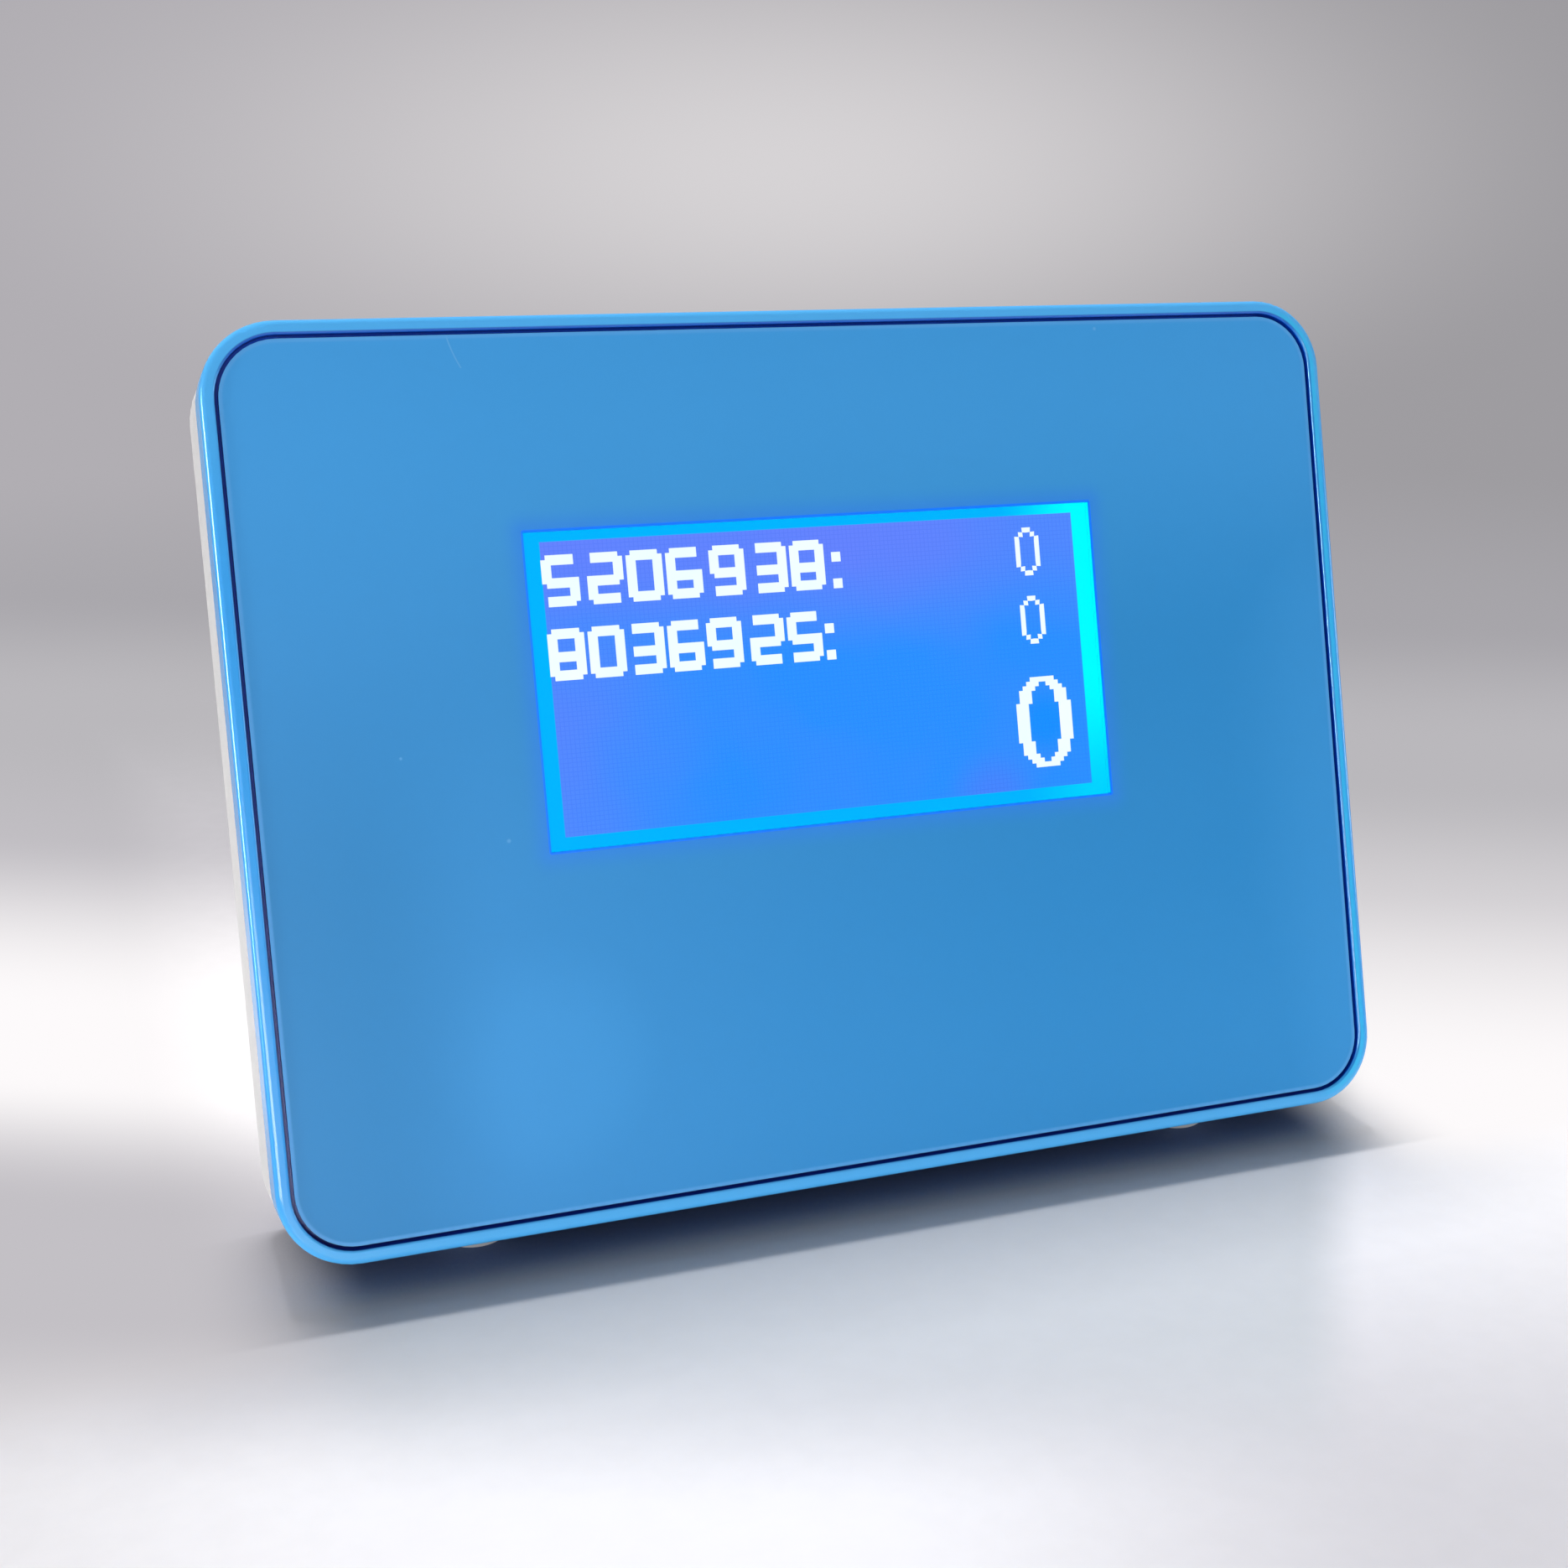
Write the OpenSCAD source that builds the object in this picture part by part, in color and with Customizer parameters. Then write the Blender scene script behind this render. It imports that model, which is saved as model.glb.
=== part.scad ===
/* [Case] */
// Width of the case across its rim
case_w = 137.5; // [134:0.1:154]
// Height of the case along its leaning face
case_h = 101.7; // [100.5:0.1:114]
// Radius of the four outer corners
corner_r = 8.5; // [7:0.1:11]
// Angle by which the face leans back from upright
lean = 14.5; // [12:0.5:17]
// Depth of the shallow tray behind the face
tray_d = 20; // [19:0.5:23]
// Depth of the whole case where it stands
base_d = 52; // [50:0.5:60]
// Thickness of the rear cover's walls
wall = 2.2; // [1.8:0.1:2.6]

/* [Front bezel] */
// Width of the rim, from its outer side to the panel recess
rim_w = 1.6; // [1.4:0.05:2.2]
// How far the rim stands out in front of the panel
rim_proud = 0.35; // [0.1:0.05:0.8]
// Radius of the rim's outer front edge
rim_r = 0.7; // [0.4:0.05:1]
// Radius of the rim's inner front edge
rim_inner_r = 0.3; // [0.1:0.05:0.4]
// Depth of the bezel's side, from the panel face to the parting line
bezel_d = 5.5; // [5:0.1:6.5]
// Thickness of the bezel's skirt behind its floor
skirt_t = 2.3; // [2.2:0.05:2.6]
// Thickness of the bezel's floor, which backs the panel
bezel_floor = 1.6; // [1.2:0.1:2]
// How far the rear cover's side is set in from the bezel's side
cover_inset = 0.1; // [0.05:0.05:0.6]
// Length of the rear cover's tongue inside the bezel
tongue_l = 1.5; // [1:0.1:1.8]
// Thickness of that tongue
tongue_t = 0.9; // [0.7:0.05:1.1]

/* [Front panel and window] */
// Thickness of the front panel
panel_t = 1; // [0.8:0.1:1.4]
// Width of the visible gap between the panel and the rim
panel_gap = 0.4; // [0.2:0.05:0.6]
// Thickness of the adhesive film behind the panel
adhesive_t = 0.2; // [0.1:0.05:0.3]
// Width of the adhesive film along the panel's edge
adhesive_w = 9; // [5:0.5:11]
// Width of the window
window_w = 70; // [66:0.5:71]
// Height of the window
window_h = 35.5; // [33:0.5:37]
// How far the window sits right of the display's middle
window_dx = -0.4; // [-0.5:0.1:0.5]
// How far the window sits above the display's middle
window_dy = -0.2; // [-0.5:0.1:0.5]
// Width of the flange round the window lens
flange_w = 3; // [2:0.1:3.4]
// Thickness of that flange
flange_t = 0.8; // [0.5:0.05:0.9]

/* [Display module] */
// Height of the display's middle above the panel's middle
lcd_y = 9.3; // [6:0.1:10]
// Width of the display board
lcd_board_w = 93; // [92:0.5:96]
// Height of the display board
lcd_board_h = 70; // [69:0.5:71]
// Spacing of the display board's screws across
lcd_hole_dx = 88; // [87.5:0.1:88.5]
// Spacing of the display board's screws up the face
lcd_hole_dy = 65; // [64.5:0.1:65.5]
// Width of the pressed steel frame
frame_w = 84; // [83.6:0.1:85]
// Height of the pressed steel frame
frame_h = 49; // [48.8:0.1:50]
// Depth of the pressed steel frame
frame_d = 7.6; // [7.6:0.1:8.6]
// Thickness of the frame's sheet
frame_t = 0.4; // [0.3:0.05:0.5]
// Width of the opening in the frame
view_w = 72; // [71:0.5:73]
// Height of the opening in the frame
view_h = 38.8; // [38:0.2:39.4]
// Thickness of each glass plate
glass_t = 1.1; // [0.7:0.1:1.1]
// Thickness of each polarising or diffusing film
film_t = 0.2; // [0.1:0.05:0.2]
// Thickness of the light guide
guide_t = 3.4; // [3:0.1:3.5]
// Thickness of the display board and of the main board
board_t = 1.6; // [1:0.1:1.6]

/* [Electronics] */
// Width of the main board
main_w = 84; // [82:0.5:88]
// Height of the main board
main_h = 50; // [48:0.5:54]
// Height of the main board's lower edge above the floor of the case
main_lift = 2.8; // [2:0.1:4]
// Distance of the main board's screws from its edges
main_edge = 4; // [3.6:0.1:4.5]
// Ways in the flat cable between the boards
ways = 20; // [16:1:20]
// Pitch of the header pins
pin_pitch = 2.54; // [2.5:0.01:2.54]
// Bend radius of the flat cable, at its middle
ribbon_r = 3; // [2.4:0.1:3.2]
// Distance of the cable socket from the middle of the case
socket_x = 34; // [33.6:0.1:35]
// Height of the cable socket's middle above the floor of the case
socket_lift = 17.4; // [16:0.1:20]

/* [Rear cover] */
// Width of the stand part behind the tray
stand_w = 104; // [100:1:110]
// Height up the face, from its middle, where the stand's top meets the tray
stand_top = 36; // [32:0.5:40]
// Radius of the stand's top, which curves forward from the upright back
shoulder_r = 40; // [34:1:50]
// Radius of the stand's long edges
stand_r = 8; // [5:0.5:9]
// Radius of the tray's rear edge
tray_r = 3; // [2:0.5:4]
// Ventilation slots in the stand's curved top
vents = 9; // [5:2:11]
// Length of each slot
vent_l = 12; // [8:0.5:14]
// Width of each slot
vent_w = 2; // [1.2:0.1:2.4]
// Spacing of the slots
vent_pitch = 7; // [5:0.5:8]

/* [Screws and feet] */
// Distance of the cover screws from the sides of the case
cover_screw_side = 9.1; // [8.8:0.1:10]
// Distance of the upper cover screws from the top of the case
cover_screw_top = 9.2; // [9:0.1:11]
// Distance of the lower cover screws from the bottom of the case
cover_screw_low = 11.2; // [10.8:0.1:12]
// Diameter of the cover screws
cover_screw_d = 3; // [2.6:0.1:3.2]
// Diameter of the small screws that hold the boards
small_screw_d = 2.5; // [2:0.1:2.6]
// Diameter of the rubber feet
foot_dia = 9; // [8:0.5:10]
// Height of the feet below the case
foot_h = 3; // [2.5:0.1:5]
// Depth of the recess that each foot sits in
foot_recess = 0.8; // [0.5:0.1:1]
// Distance of the front feet from the middle of the case
front_foot_x = 46; // [40:0.5:52]
// Distance of the rear feet from the middle of the case
rear_foot_x = 40; // [30:0.5:42]

/* [Hidden] */
$fn = 48;
fit = 0.1; // clearance where one piece sits in another
sink = 0.5; // how far a boss or rib runs into the wall it grows from
over = 1; // how far a cut runs past the face that it opens
reach = 200; // longer than the case in every direction
rib_t = 1.2; // thickness of the ribs and gussets inside the case

// Panel recess in the bezel
recess_d = panel_t + adhesive_t;
recess_w = case_w - 2 * rim_w;
recess_h = case_h - 2 * rim_w;
recess_r = corner_r - rim_w;
bezel_back = recess_d + bezel_floor;
rebate_t = tongue_t + 2 * fit;
rebate_l = tongue_l + fit;

// Place of the leaning face, with the case's box centred over the origin
face_y = -base_d / 2 + rim_r + (case_h / 2 - rim_r) * sin(lean) - (rim_r - rim_proud) * cos(lean);
face_z = foot_h + (case_h / 2 - cover_inset) * cos(lean) + bezel_d * sin(lean);
floor_z = foot_h + wall; // inside floor of the case
back_y = base_d / 2; // outside of the upright back

// Depths behind the panel face in the display module
flange_back = panel_t + flange_t;
frame_front = flange_back + fit;
polariser_front = frame_front + frame_t;
glass_front = polariser_front + film_t;
glass_mid = glass_front + glass_t;
glass_back = glass_mid + glass_t;
diffuser_front = glass_back + film_t;
guide_front = diffuser_front + film_t;
guide_back = guide_front + guide_t;
lcd_board_front = frame_front + frame_d;
lcd_board_back = lcd_board_front + board_t;

// Outlines in the display module
flange_r = 1; // corners of the lens's flange
frame_r = 1; // corners of the steel frame
glass_side_gap = 1.6; // from the frame's inside to the glass, left and right
glass_w = frame_w - 2 * frame_t - 2 * glass_side_gap;
glass_end_gap = 0.85; // from the frame's inside to the glass, above and below
glass_h = frame_h - 2 * frame_t - 2 * glass_end_gap;
ledge = 2.4; // strip of the front glass that the rear glass leaves free
rear_glass_h = glass_h - 2 * ledge;
film_edge = 1; // strip of the front glass that its film leaves free at each end
tray_wall = 0.6; // wall of the backlight's white tray
tray_w = glass_w + 1;
tray_in_w = tray_w - 2 * tray_wall;
tray_in_h = rear_glass_h - 2 * tray_wall;
led_strip_t = 0.6;
led_d = 1.4; // how far each lamp stands off its strip
led_count = 6;
guide_w = tray_in_w - led_strip_t - led_d - 2 * fit;
guide_h = tray_in_h - 2 * fit;
tab_w = 2.4; // bent tabs of the steel frame
tab_l = 2.4;
tab_x = [-frame_w * 0.33, 0, frame_w * 0.33];

// Pins, plugs and the flat cable
row_w = ways * pin_pitch;
pin_s = 0.64;
strip_h = 2.5; // height and width of the header's plastic strip
pin_out = 6; // how far the pins stand out of the strip
pin_in = 2.1; // how far they run through the board
plug_l = 6.4;
plug_t = 5;
ribbon_t = 1;
ribbon_w = row_w - 1.5;
header_y = lcd_y - lcd_board_h / 2 + 2.5;
plug_front = lcd_board_back + strip_h + fit;
plug_back = plug_front + plug_l;

// Cable socket and main board
socket_w = 15.9;
socket_h = 13.4;
socket_d = 15.5;
socket_recess = 0.5; // how far the mouth lies inside the upright back
main_back = back_y - socket_recess - socket_d;
main_front = main_back - board_t;
main_low = floor_z + main_lift;
main_mid = main_low + main_h / 2;
socket_z = floor_z + socket_lift;
plug_space_w = 11.9;
plug_space_h = 6.9;
plug_space_d = 12.4;
plug_space_low = 2.1; // how far the plug space's lower side lies below the socket's middle

// Route of the flat cable, as it leaves the display's plug
ribbon_start = face_point(header_y, plug_back);
ribbon_turn = [ribbon_start.x - ribbon_r * sin(lean), ribbon_start.y - ribbon_r * cos(lean)];
board_plug_end = main_front - strip_h - fit - plug_l;
ribbon_lead = 1.5; // shortest straight stretch before the main board's plug
ribbon_low = [min(board_plug_end, ribbon_turn.x) - ribbon_lead, ribbon_turn.y - 2 * ribbon_r];
board_header_z = ribbon_low.y - ribbon_r;

// Places of the parts on the main board, from its middle
microcontroller_at = [-6, 8];
line_driver_at = [20, 8];
crystal_at = [-6, -6];
regulator_at = [20, -4];
capacitors_at = [[-28, -4], [-28, 6]];
trimmer_at = [32, 9];

// Heads and holes of the screws
cover_head_d = cover_screw_d * 1.85;
cover_head_h = cover_screw_d * 0.8;
head_hole_r = cover_head_d / 2 + 2 * fit; // hole for the head of a cover screw
small_head_d = small_screw_d * 1.85;
small_head_h = small_screw_d * 0.7;
boss_t = 1.9; // wall round a screw hole
boss_gusset = 1.4; // width and height of a boss's gussets
board_boss_t = 1.7; // wall round a hole of the main board's bosses
seat_wall = 1.2; // wall round the head of a cover screw
seat_floor = 1.5; // thickness of the seat under that head
bezel_boss_back = 8;
head_hole_d = 6; // depth of the holes for the cover screws' heads
cover_seat = tray_d - head_hole_d;
cover_screw_end = 1.2; // from the cover screws' ends to the bezel's floor
cover_screw_l = cover_seat - bezel_back - cover_screw_end;
module_screw_bite = 5; // length of the small screws in their bosses
board_screw_bite = 6;
module_screw_l = board_t + module_screw_bite;
board_screw_l = board_t + board_screw_bite;
foot_edge_gap = 1.2; // from a front foot to the tray's lower front edge
cover_screws_at = [
    for (s = [-1, 1], y = [cover_screw_low - case_h / 2, case_h / 2 - cover_screw_top])
        [s * (case_w / 2 - cover_screw_side), y]
];
module_screws_at = [
    for (x = [-1, 1], y = [-1, 1]) [x * lcd_hole_dx / 2, lcd_y + y * lcd_hole_dy / 2]
];
board_screws_at = [
    for (x = [-1, 1], z = [-1, 1]) [x * (main_w / 2 - main_edge), main_mid + z * (main_h / 2 - main_edge)]
];
// Tray's lower front edge in the side view
tray_low_y = face_y - (case_h / 2 - cover_inset) * sin(lean) + bezel_d * cos(lean);
front_foot_y = tray_low_y + foot_edge_gap + foot_dia / 2;
rear_foot_y = back_y - stand_r / 2 - foot_dia / 2;
feet_at = [
    [-front_foot_x, front_foot_y], [front_foot_x, front_foot_y],
    [-rear_foot_x, rear_foot_y], [rear_foot_x, rear_foot_y]
];

// Point of the side view, given as height up the face and depth behind it
function face_point(up, depth) = [
    face_y + up * sin(lean) + depth * cos(lean),
    face_z + up * cos(lean) - depth * sin(lean)
];

// Stand in the side view: where its curved top meets the tray, and the middle of that curve
stand_high = face_point(stand_top, tray_d);
shoulder_y = back_y - shoulder_r;
shoulder_z = stand_high.y - sqrt(shoulder_r * shoulder_r - pow(stand_high.x - shoulder_y, 2));
vent_turn = acos((stand_high.x - shoulder_y) / shoulder_r) / 2;

// Drawing frame of the face: x right, y up the face, z out of it
module on_face() {
    translate([0, face_y, face_z])
        rotate([90 - lean, 0, 0])
            children();
}

// Frame of the upright boards: x right, y up, z out towards the back
module on_back(y) {
    translate([0, y, 0])
        mirror([0, 1, 0])
            rotate([90, 0, 0])
                children();
}

// Flat shape carried from one depth behind the face to another
module slab(from, to) {
    translate([0, 0, -to])
        linear_extrude(to - from)
            children();
}

module rounded_rect(w, h, r) {
    square([w - 2 * r, h], center = true);
    square([w, h - 2 * r], center = true);
    for (x = [-1, 1], y = [-1, 1])
        translate([x * (w / 2 - r), y * (h / 2 - r)])
            circle(r);
}

// Slot with round ends, upright
module stadium(w, h) {
    square([w, h - w], center = true);
    for (s = [-1, 1])
        translate([0, s * (h - w) / 2])
            circle(d = w);
}

module rect_ring(w, h, t, r) {
    difference() {
        rounded_rect(w, h, r);
        rounded_rect(w - 2 * t, h - 2 * t, max(r - t, 0.05));
    }
}

// Profile carried round a rounded rectangle: its x is 0 on the outline and negative inside
module edge_sweep(w, h, r) {
    for (k = [0 : 3]) {
        long = k % 2 == 0 ? h : w;
        wide = k % 2 == 0 ? w : h;
        rotate(90 * k)
            translate([wide / 2 - r, long / 2 - r, 0])
                rotate_extrude(angle = 90)
                    translate([r, 0])
                        children();
        rotate(90 * k)
            translate([wide / 2, long / 2 - r, 0])
                rotate([90, 0, 0])
                    linear_extrude(long - 2 * r)
                        children();
    }
}

// Corner that a difference takes away to round an edge of a profile
module corner_cut(r) {
    difference() {
        square(r + over);
        circle(r);
    }
}

// Screw along -z with its head's seat at z = 0
module pan_screw(d, l, head_d, head_h) {
    difference() {
        union() {
            translate([0, 0, -l])
                cylinder(d = d, h = l);
            cylinder(d = head_d, h = head_h * 0.6);
            intersection() {
                translate([0, 0, head_h - head_d])
                    sphere(head_d);
                cylinder(d = head_d, h = head_h);
            }
        }
        for (a = [0, 90])
            rotate(a)
                translate([-head_d * 0.3, -head_d * 0.07, head_h * 0.45])
                    cube([head_d * 0.6, head_d * 0.14, head_h]);
    }
}

// Outline of the bezel's edge: a slim rim beside the panel and a thicker skirt behind the floor
module rim_profile() {
    difference() {
        union() {
            translate([-rim_w, -bezel_d])
                square([rim_w, bezel_d + rim_proud]);
            translate([-skirt_t, -bezel_d])
                square([skirt_t, bezel_d - bezel_back + sink]);
        }
        translate([-rim_r, rim_proud - rim_r])
            corner_cut(rim_r);
        translate([-rim_w + rim_inner_r, rim_proud - rim_inner_r])
            mirror([1, 0])
                corner_cut(rim_inner_r);
        translate([-skirt_t - over, -bezel_d - over])
            square([rebate_t + over, rebate_l + over]);
    }
}

// Boss with gussets to the floor that it stands on
module boss(r, from, to, gusset) {
    slab(from - sink, to)
        circle(r);
    for (a = [0, 90])
        rotate(a)
            translate([0, rib_t / 2, -from])
                rotate([90, 0, 0])
                    linear_extrude(rib_t)
                        polygon([
                            [-r - gusset, sink], [-r - gusset, 0], [-r, -gusset],
                            [r, -gusset], [r + gusset, 0], [r + gusset, sink]
                        ]);
}

module front_bezel() {
    color([0.24, 0.64, 0.94])
        on_face()
            difference() {
                union() {
                    edge_sweep(case_w, case_h, corner_r)
                        rim_profile();
                    slab(recess_d, bezel_back)
                        rounded_rect(recess_w + rim_w, recess_h + rim_w, recess_r + rim_w / 2);
                    for (p = cover_screws_at)
                        translate(p)
                            boss(cover_screw_d / 2 + boss_t, bezel_back, bezel_boss_back, boss_gusset);
                    for (p = module_screws_at)
                        translate(p)
                            boss(small_screw_d / 2 + boss_t, bezel_back, lcd_board_front, boss_gusset);
                    bezel_ribs();
                }
                translate([0, lcd_y, 0])
                    slab(0, bezel_back + over)
                        square([frame_w + 4 * fit, frame_h + 4 * fit], center = true);
                for (p = cover_screws_at)
                    translate(p)
                        slab(bezel_back, bezel_boss_back + over)
                            circle(d = cover_screw_d + fit);
                for (p = module_screws_at)
                    translate(p)
                        slab(bezel_back, lcd_board_front + over)
                            circle(d = small_screw_d + fit);
            }
}

// Stiffening ribs on the back of the bezel's floor: a frame round the display and a lattice below it
module bezel_ribs() {
    rib_h = 1.6;
    rib_back = bezel_back + rib_h;
    ring_gap = 2.5; // from the display's frame to the outside of the ribs round it
    ring_low = lcd_y - frame_h / 2 - ring_gap + rib_t / 2;
    rib_pitch = 30;
    end_gap = 15; // from the ends of the long rib to the sides of the recess
    long_y = -recess_h * 0.36;
    skirt_low = skirt_t - case_h / 2; // inner side of the skirt, where the upright ribs end
    translate([0, lcd_y, 0])
        slab(bezel_back - sink, rib_back)
            rect_ring(frame_w + 2 * ring_gap, frame_h + 2 * ring_gap, rib_t, 1.5);
    for (i = [-1 : 1])
        translate([i * rib_pitch, (ring_low + skirt_low) / 2, 0])
            slab(bezel_back - sink, rib_back)
                square([rib_t, ring_low - skirt_low], center = true);
    translate([0, long_y, 0])
        slab(bezel_back - sink, rib_back)
            square([recess_w - 2 * end_gap, rib_t], center = true);
}

module front_panel() {
    color([0.28, 0.58, 0.83])
        on_face()
            slab(0, panel_t)
                difference() {
                    rounded_rect(recess_w - 2 * panel_gap, recess_h - 2 * panel_gap, recess_r - panel_gap);
                    translate([window_dx, lcd_y + window_dy])
                        square([window_w + 2 * fit, window_h + 2 * fit], center = true);
                }
}

module panel_adhesive() {
    edge_gap = 0.5; // from the film's edge to the panel's
    film_w = recess_w - 2 * panel_gap - 2 * edge_gap;
    film_h = recess_h - 2 * panel_gap - 2 * edge_gap;
    color("gainsboro")
        on_face()
            slab(panel_t, recess_d)
                rect_ring(film_w, film_h, adhesive_w, recess_r - panel_gap - edge_gap);
}

module window_lens() {
    color([0.6, 0.85, 1, 0.3])
        on_face()
            translate([window_dx, lcd_y + window_dy, 0]) {
                slab(0, panel_t)
                    square([window_w, window_h], center = true);
                slab(panel_t, flange_back)
                    rounded_rect(window_w + 2 * flange_w, window_h + 2 * flange_w, flange_r);
            }
}

module window_gasket() {
    hole_w = window_w + 2 * flange_w + 2 * fit;
    hole_h = window_h + 2 * flange_w + 2 * fit;
    edge_gap = 0.5; // from the gasket's edge to the steel frame's
    color([0.15, 0.15, 0.16])
        on_face()
            translate([0, lcd_y, 0])
                slab(panel_t, frame_front)
                    difference() {
                        rounded_rect(frame_w - 2 * edge_gap, frame_h - 2 * edge_gap, frame_r);
                        translate([window_dx, window_dy])
                            rounded_rect(hole_w, hole_h, flange_r);
                    }
}

module lcd_frame() {
    color([0.12, 0.12, 0.13])
        on_face()
            translate([0, lcd_y, 0]) {
                slab(frame_front, frame_front + frame_t)
                    difference() {
                        rounded_rect(frame_w, frame_h, frame_r);
                        square([view_w, view_h], center = true);
                    }
                slab(frame_front, lcd_board_front)
                    rect_ring(frame_w, frame_h, frame_t, frame_r);
                for (x = tab_x, s = [-1, 1])
                    translate([x, s * (frame_h - frame_t) / 2])
                        slab(lcd_board_front - sink, lcd_board_back + tab_l - board_t)
                            square([tab_w, frame_t], center = true);
            }
}

module front_polariser() {
    color([0.35, 0.45, 1, 0.8])
        on_face()
            translate([0, lcd_y, 0])
                slab(polariser_front, glass_front)
                    square([glass_w - 2 * film_edge, rear_glass_h], center = true);
}

module front_glass() {
    color([0.7, 0.85, 0.95, 0.5])
        on_face()
            translate([0, lcd_y, 0])
                slab(glass_front, glass_mid)
                    square([glass_w, glass_h], center = true);
}

module rear_glass() {
    color([0.7, 0.85, 0.95, 0.5])
        on_face()
            translate([0, lcd_y, 0])
                slab(glass_mid, glass_back)
                    square([glass_w, rear_glass_h], center = true);
}

module rear_polariser() {
    color([0.4, 0.45, 0.6, 0.8])
        on_face()
            translate([0, lcd_y, 0])
                slab(glass_back, diffuser_front)
                    square([guide_w, guide_h], center = true);
}

module diffuser_film() {
    color("white")
        on_face()
            translate([0, lcd_y, 0])
                slab(diffuser_front, guide_front)
                    square([guide_w, guide_h], center = true);
}

// Acrylic plate that spreads the light of the lamps at its right end
module light_guide() {
    color([0.85, 0.95, 1, 0.6])
        on_face()
            translate([-tray_in_w / 2 + fit + guide_w / 2, lcd_y, 0])
                slab(guide_front, guide_back)
                    square([guide_w, guide_h], center = true);
}

module backlight_tray() {
    color("white")
        on_face()
            translate([0, lcd_y, 0]) {
                slab(guide_back, lcd_board_front)
                    square([tray_w, rear_glass_h], center = true);
                slab(guide_front, guide_back)
                    difference() {
                        square([tray_w, rear_glass_h], center = true);
                        square([tray_in_w, tray_in_h], center = true);
                    }
            }
}

// Upright strip with a row of lamps that face the light guide
module backlight_leds() {
    led_pitch = tray_in_h / led_count;
    led_w = 3.5;
    led_inset = 0.4; // from the strip's edges to the lamps
    color([0.95, 0.95, 0.8])
        on_face()
            translate([tray_in_w / 2, lcd_y, 0]) {
                slab(guide_front, guide_back)
                    translate([-led_strip_t / 2, 0])
                        square([led_strip_t, tray_in_h - 2 * fit], center = true);
                for (i = [0 : led_count - 1])
                    translate([-led_strip_t - led_d / 2, (i - (led_count - 1) / 2) * led_pitch, 0])
                        slab(guide_front + led_inset, guide_back - led_inset)
                            square([led_d, led_w], center = true);
            }
}

// Soft striped bars that join the glass's ledges to the board
module zebra_strips() {
    zebra_t = ledge - 2 * fit;
    zebra_w = view_w + 2;
    color([0.85, 0.82, 0.7])
        on_face()
            for (s = [-1, 1])
                translate([0, lcd_y + s * (glass_h - ledge) / 2, 0])
                    slab(glass_mid, lcd_board_front)
                        square([zebra_w, zebra_t], center = true);
}

module lcd_board() {
    color([0.1, 0.42, 0.24])
        on_face()
            slab(lcd_board_front, lcd_board_back)
                difference() {
                    translate([0, lcd_y])
                        rounded_rect(lcd_board_w, lcd_board_h, 1);
                    for (p = module_screws_at)
                        translate(p)
                            circle(d = small_screw_d + 4 * fit);
                    for (x = tab_x, s = [-1, 1])
                        translate([x, lcd_y + s * (frame_h - frame_t) / 2])
                            square([tab_w + 4 * fit, frame_t + 4 * fit], center = true);
                    pin_row()
                        translate([0, header_y])
                            square(pin_s + 2 * fit, center = true);
                }
}

// Copies of a thing at each pin of a header
module pin_row() {
    for (i = [0 : ways - 1])
        translate([(i - (ways - 1) / 2) * pin_pitch, 0])
            children();
}

// Black resin domes over the three bare driver chips
module driver_domes() {
    dome_r = 8;
    dome_h = 1.8;
    dome_pitch = 26;
    dome_up = 6; // above the display's middle
    ball_r = (dome_r * dome_r + dome_h * dome_h) / (2 * dome_h);
    color([0.1, 0.1, 0.1])
        on_face()
            for (i = [-1 : 1])
                translate([i * dome_pitch, lcd_y + dome_up, -lcd_board_back])
                    intersection() {
                        translate([0, 0, ball_r - dome_h])
                            sphere(ball_r, $fn = 96);
                        translate([0, 0, -dome_h])
                            cylinder(r = dome_r, h = dome_h);
                    }
}

// Pin header whose strip lies on a board's face at z = 0, with its pins along z
module pin_header() {
    translate([-row_w / 2, -strip_h / 2, 0])
        cube([row_w, strip_h, strip_h]);
    pin_row()
        translate([-pin_s / 2, -pin_s / 2, -pin_in])
            cube([pin_s, pin_s, pin_in + strip_h + pin_out]);
}

// Crimp housing that slides over a header's pins, with its mouth at z = 0
module row_plug() {
    end_wall = 0.4;
    difference() {
        translate([-row_w / 2 - end_wall, -plug_t / 2, 0])
            cube([row_w + 2 * end_wall, plug_t, plug_l]);
        pin_row()
            translate([-pin_s / 2 - fit, -pin_s / 2 - fit, -over])
                cube([pin_s + 2 * fit, pin_s + 2 * fit, pin_out + over]);
    }
}

module lcd_header() {
    color([0.12, 0.12, 0.12])
        on_face()
            translate([0, header_y, -lcd_board_back])
                mirror([0, 0, 1])
                    pin_header();
}

module lcd_plug() {
    color([0.9, 0.88, 0.8])
        on_face()
            translate([0, header_y, -plug_front])
                mirror([0, 0, 1])
                    row_plug();
}

module board_header() {
    color([0.12, 0.12, 0.12])
        translate([0, main_front, board_header_z])
            rotate([90, 0, 0])
                pin_header();
}

module board_plug() {
    color([0.9, 0.88, 0.8])
        translate([0, main_front - strip_h - fit, board_header_z])
            rotate([90, 0, 0])
                row_plug();
}

// Side of the flat cable at a given distance from its middle line: a turn down, a run and a turn back
function ribbon_side(off) = concat(
    [for (a = [-lean : -(180 - lean) / 12 : -180])
        ribbon_turn + (ribbon_r + off) * [-sin(a), cos(a)]],
    [for (a = [180 : 15 : 360])
        ribbon_low + (ribbon_r - off) * [sin(a), -cos(a)]],
    [[board_plug_end, ribbon_low.y - ribbon_r + off]]
);
function backwards(list) = [for (i = [len(list) - 1 : -1 : 0]) list[i]];

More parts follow.
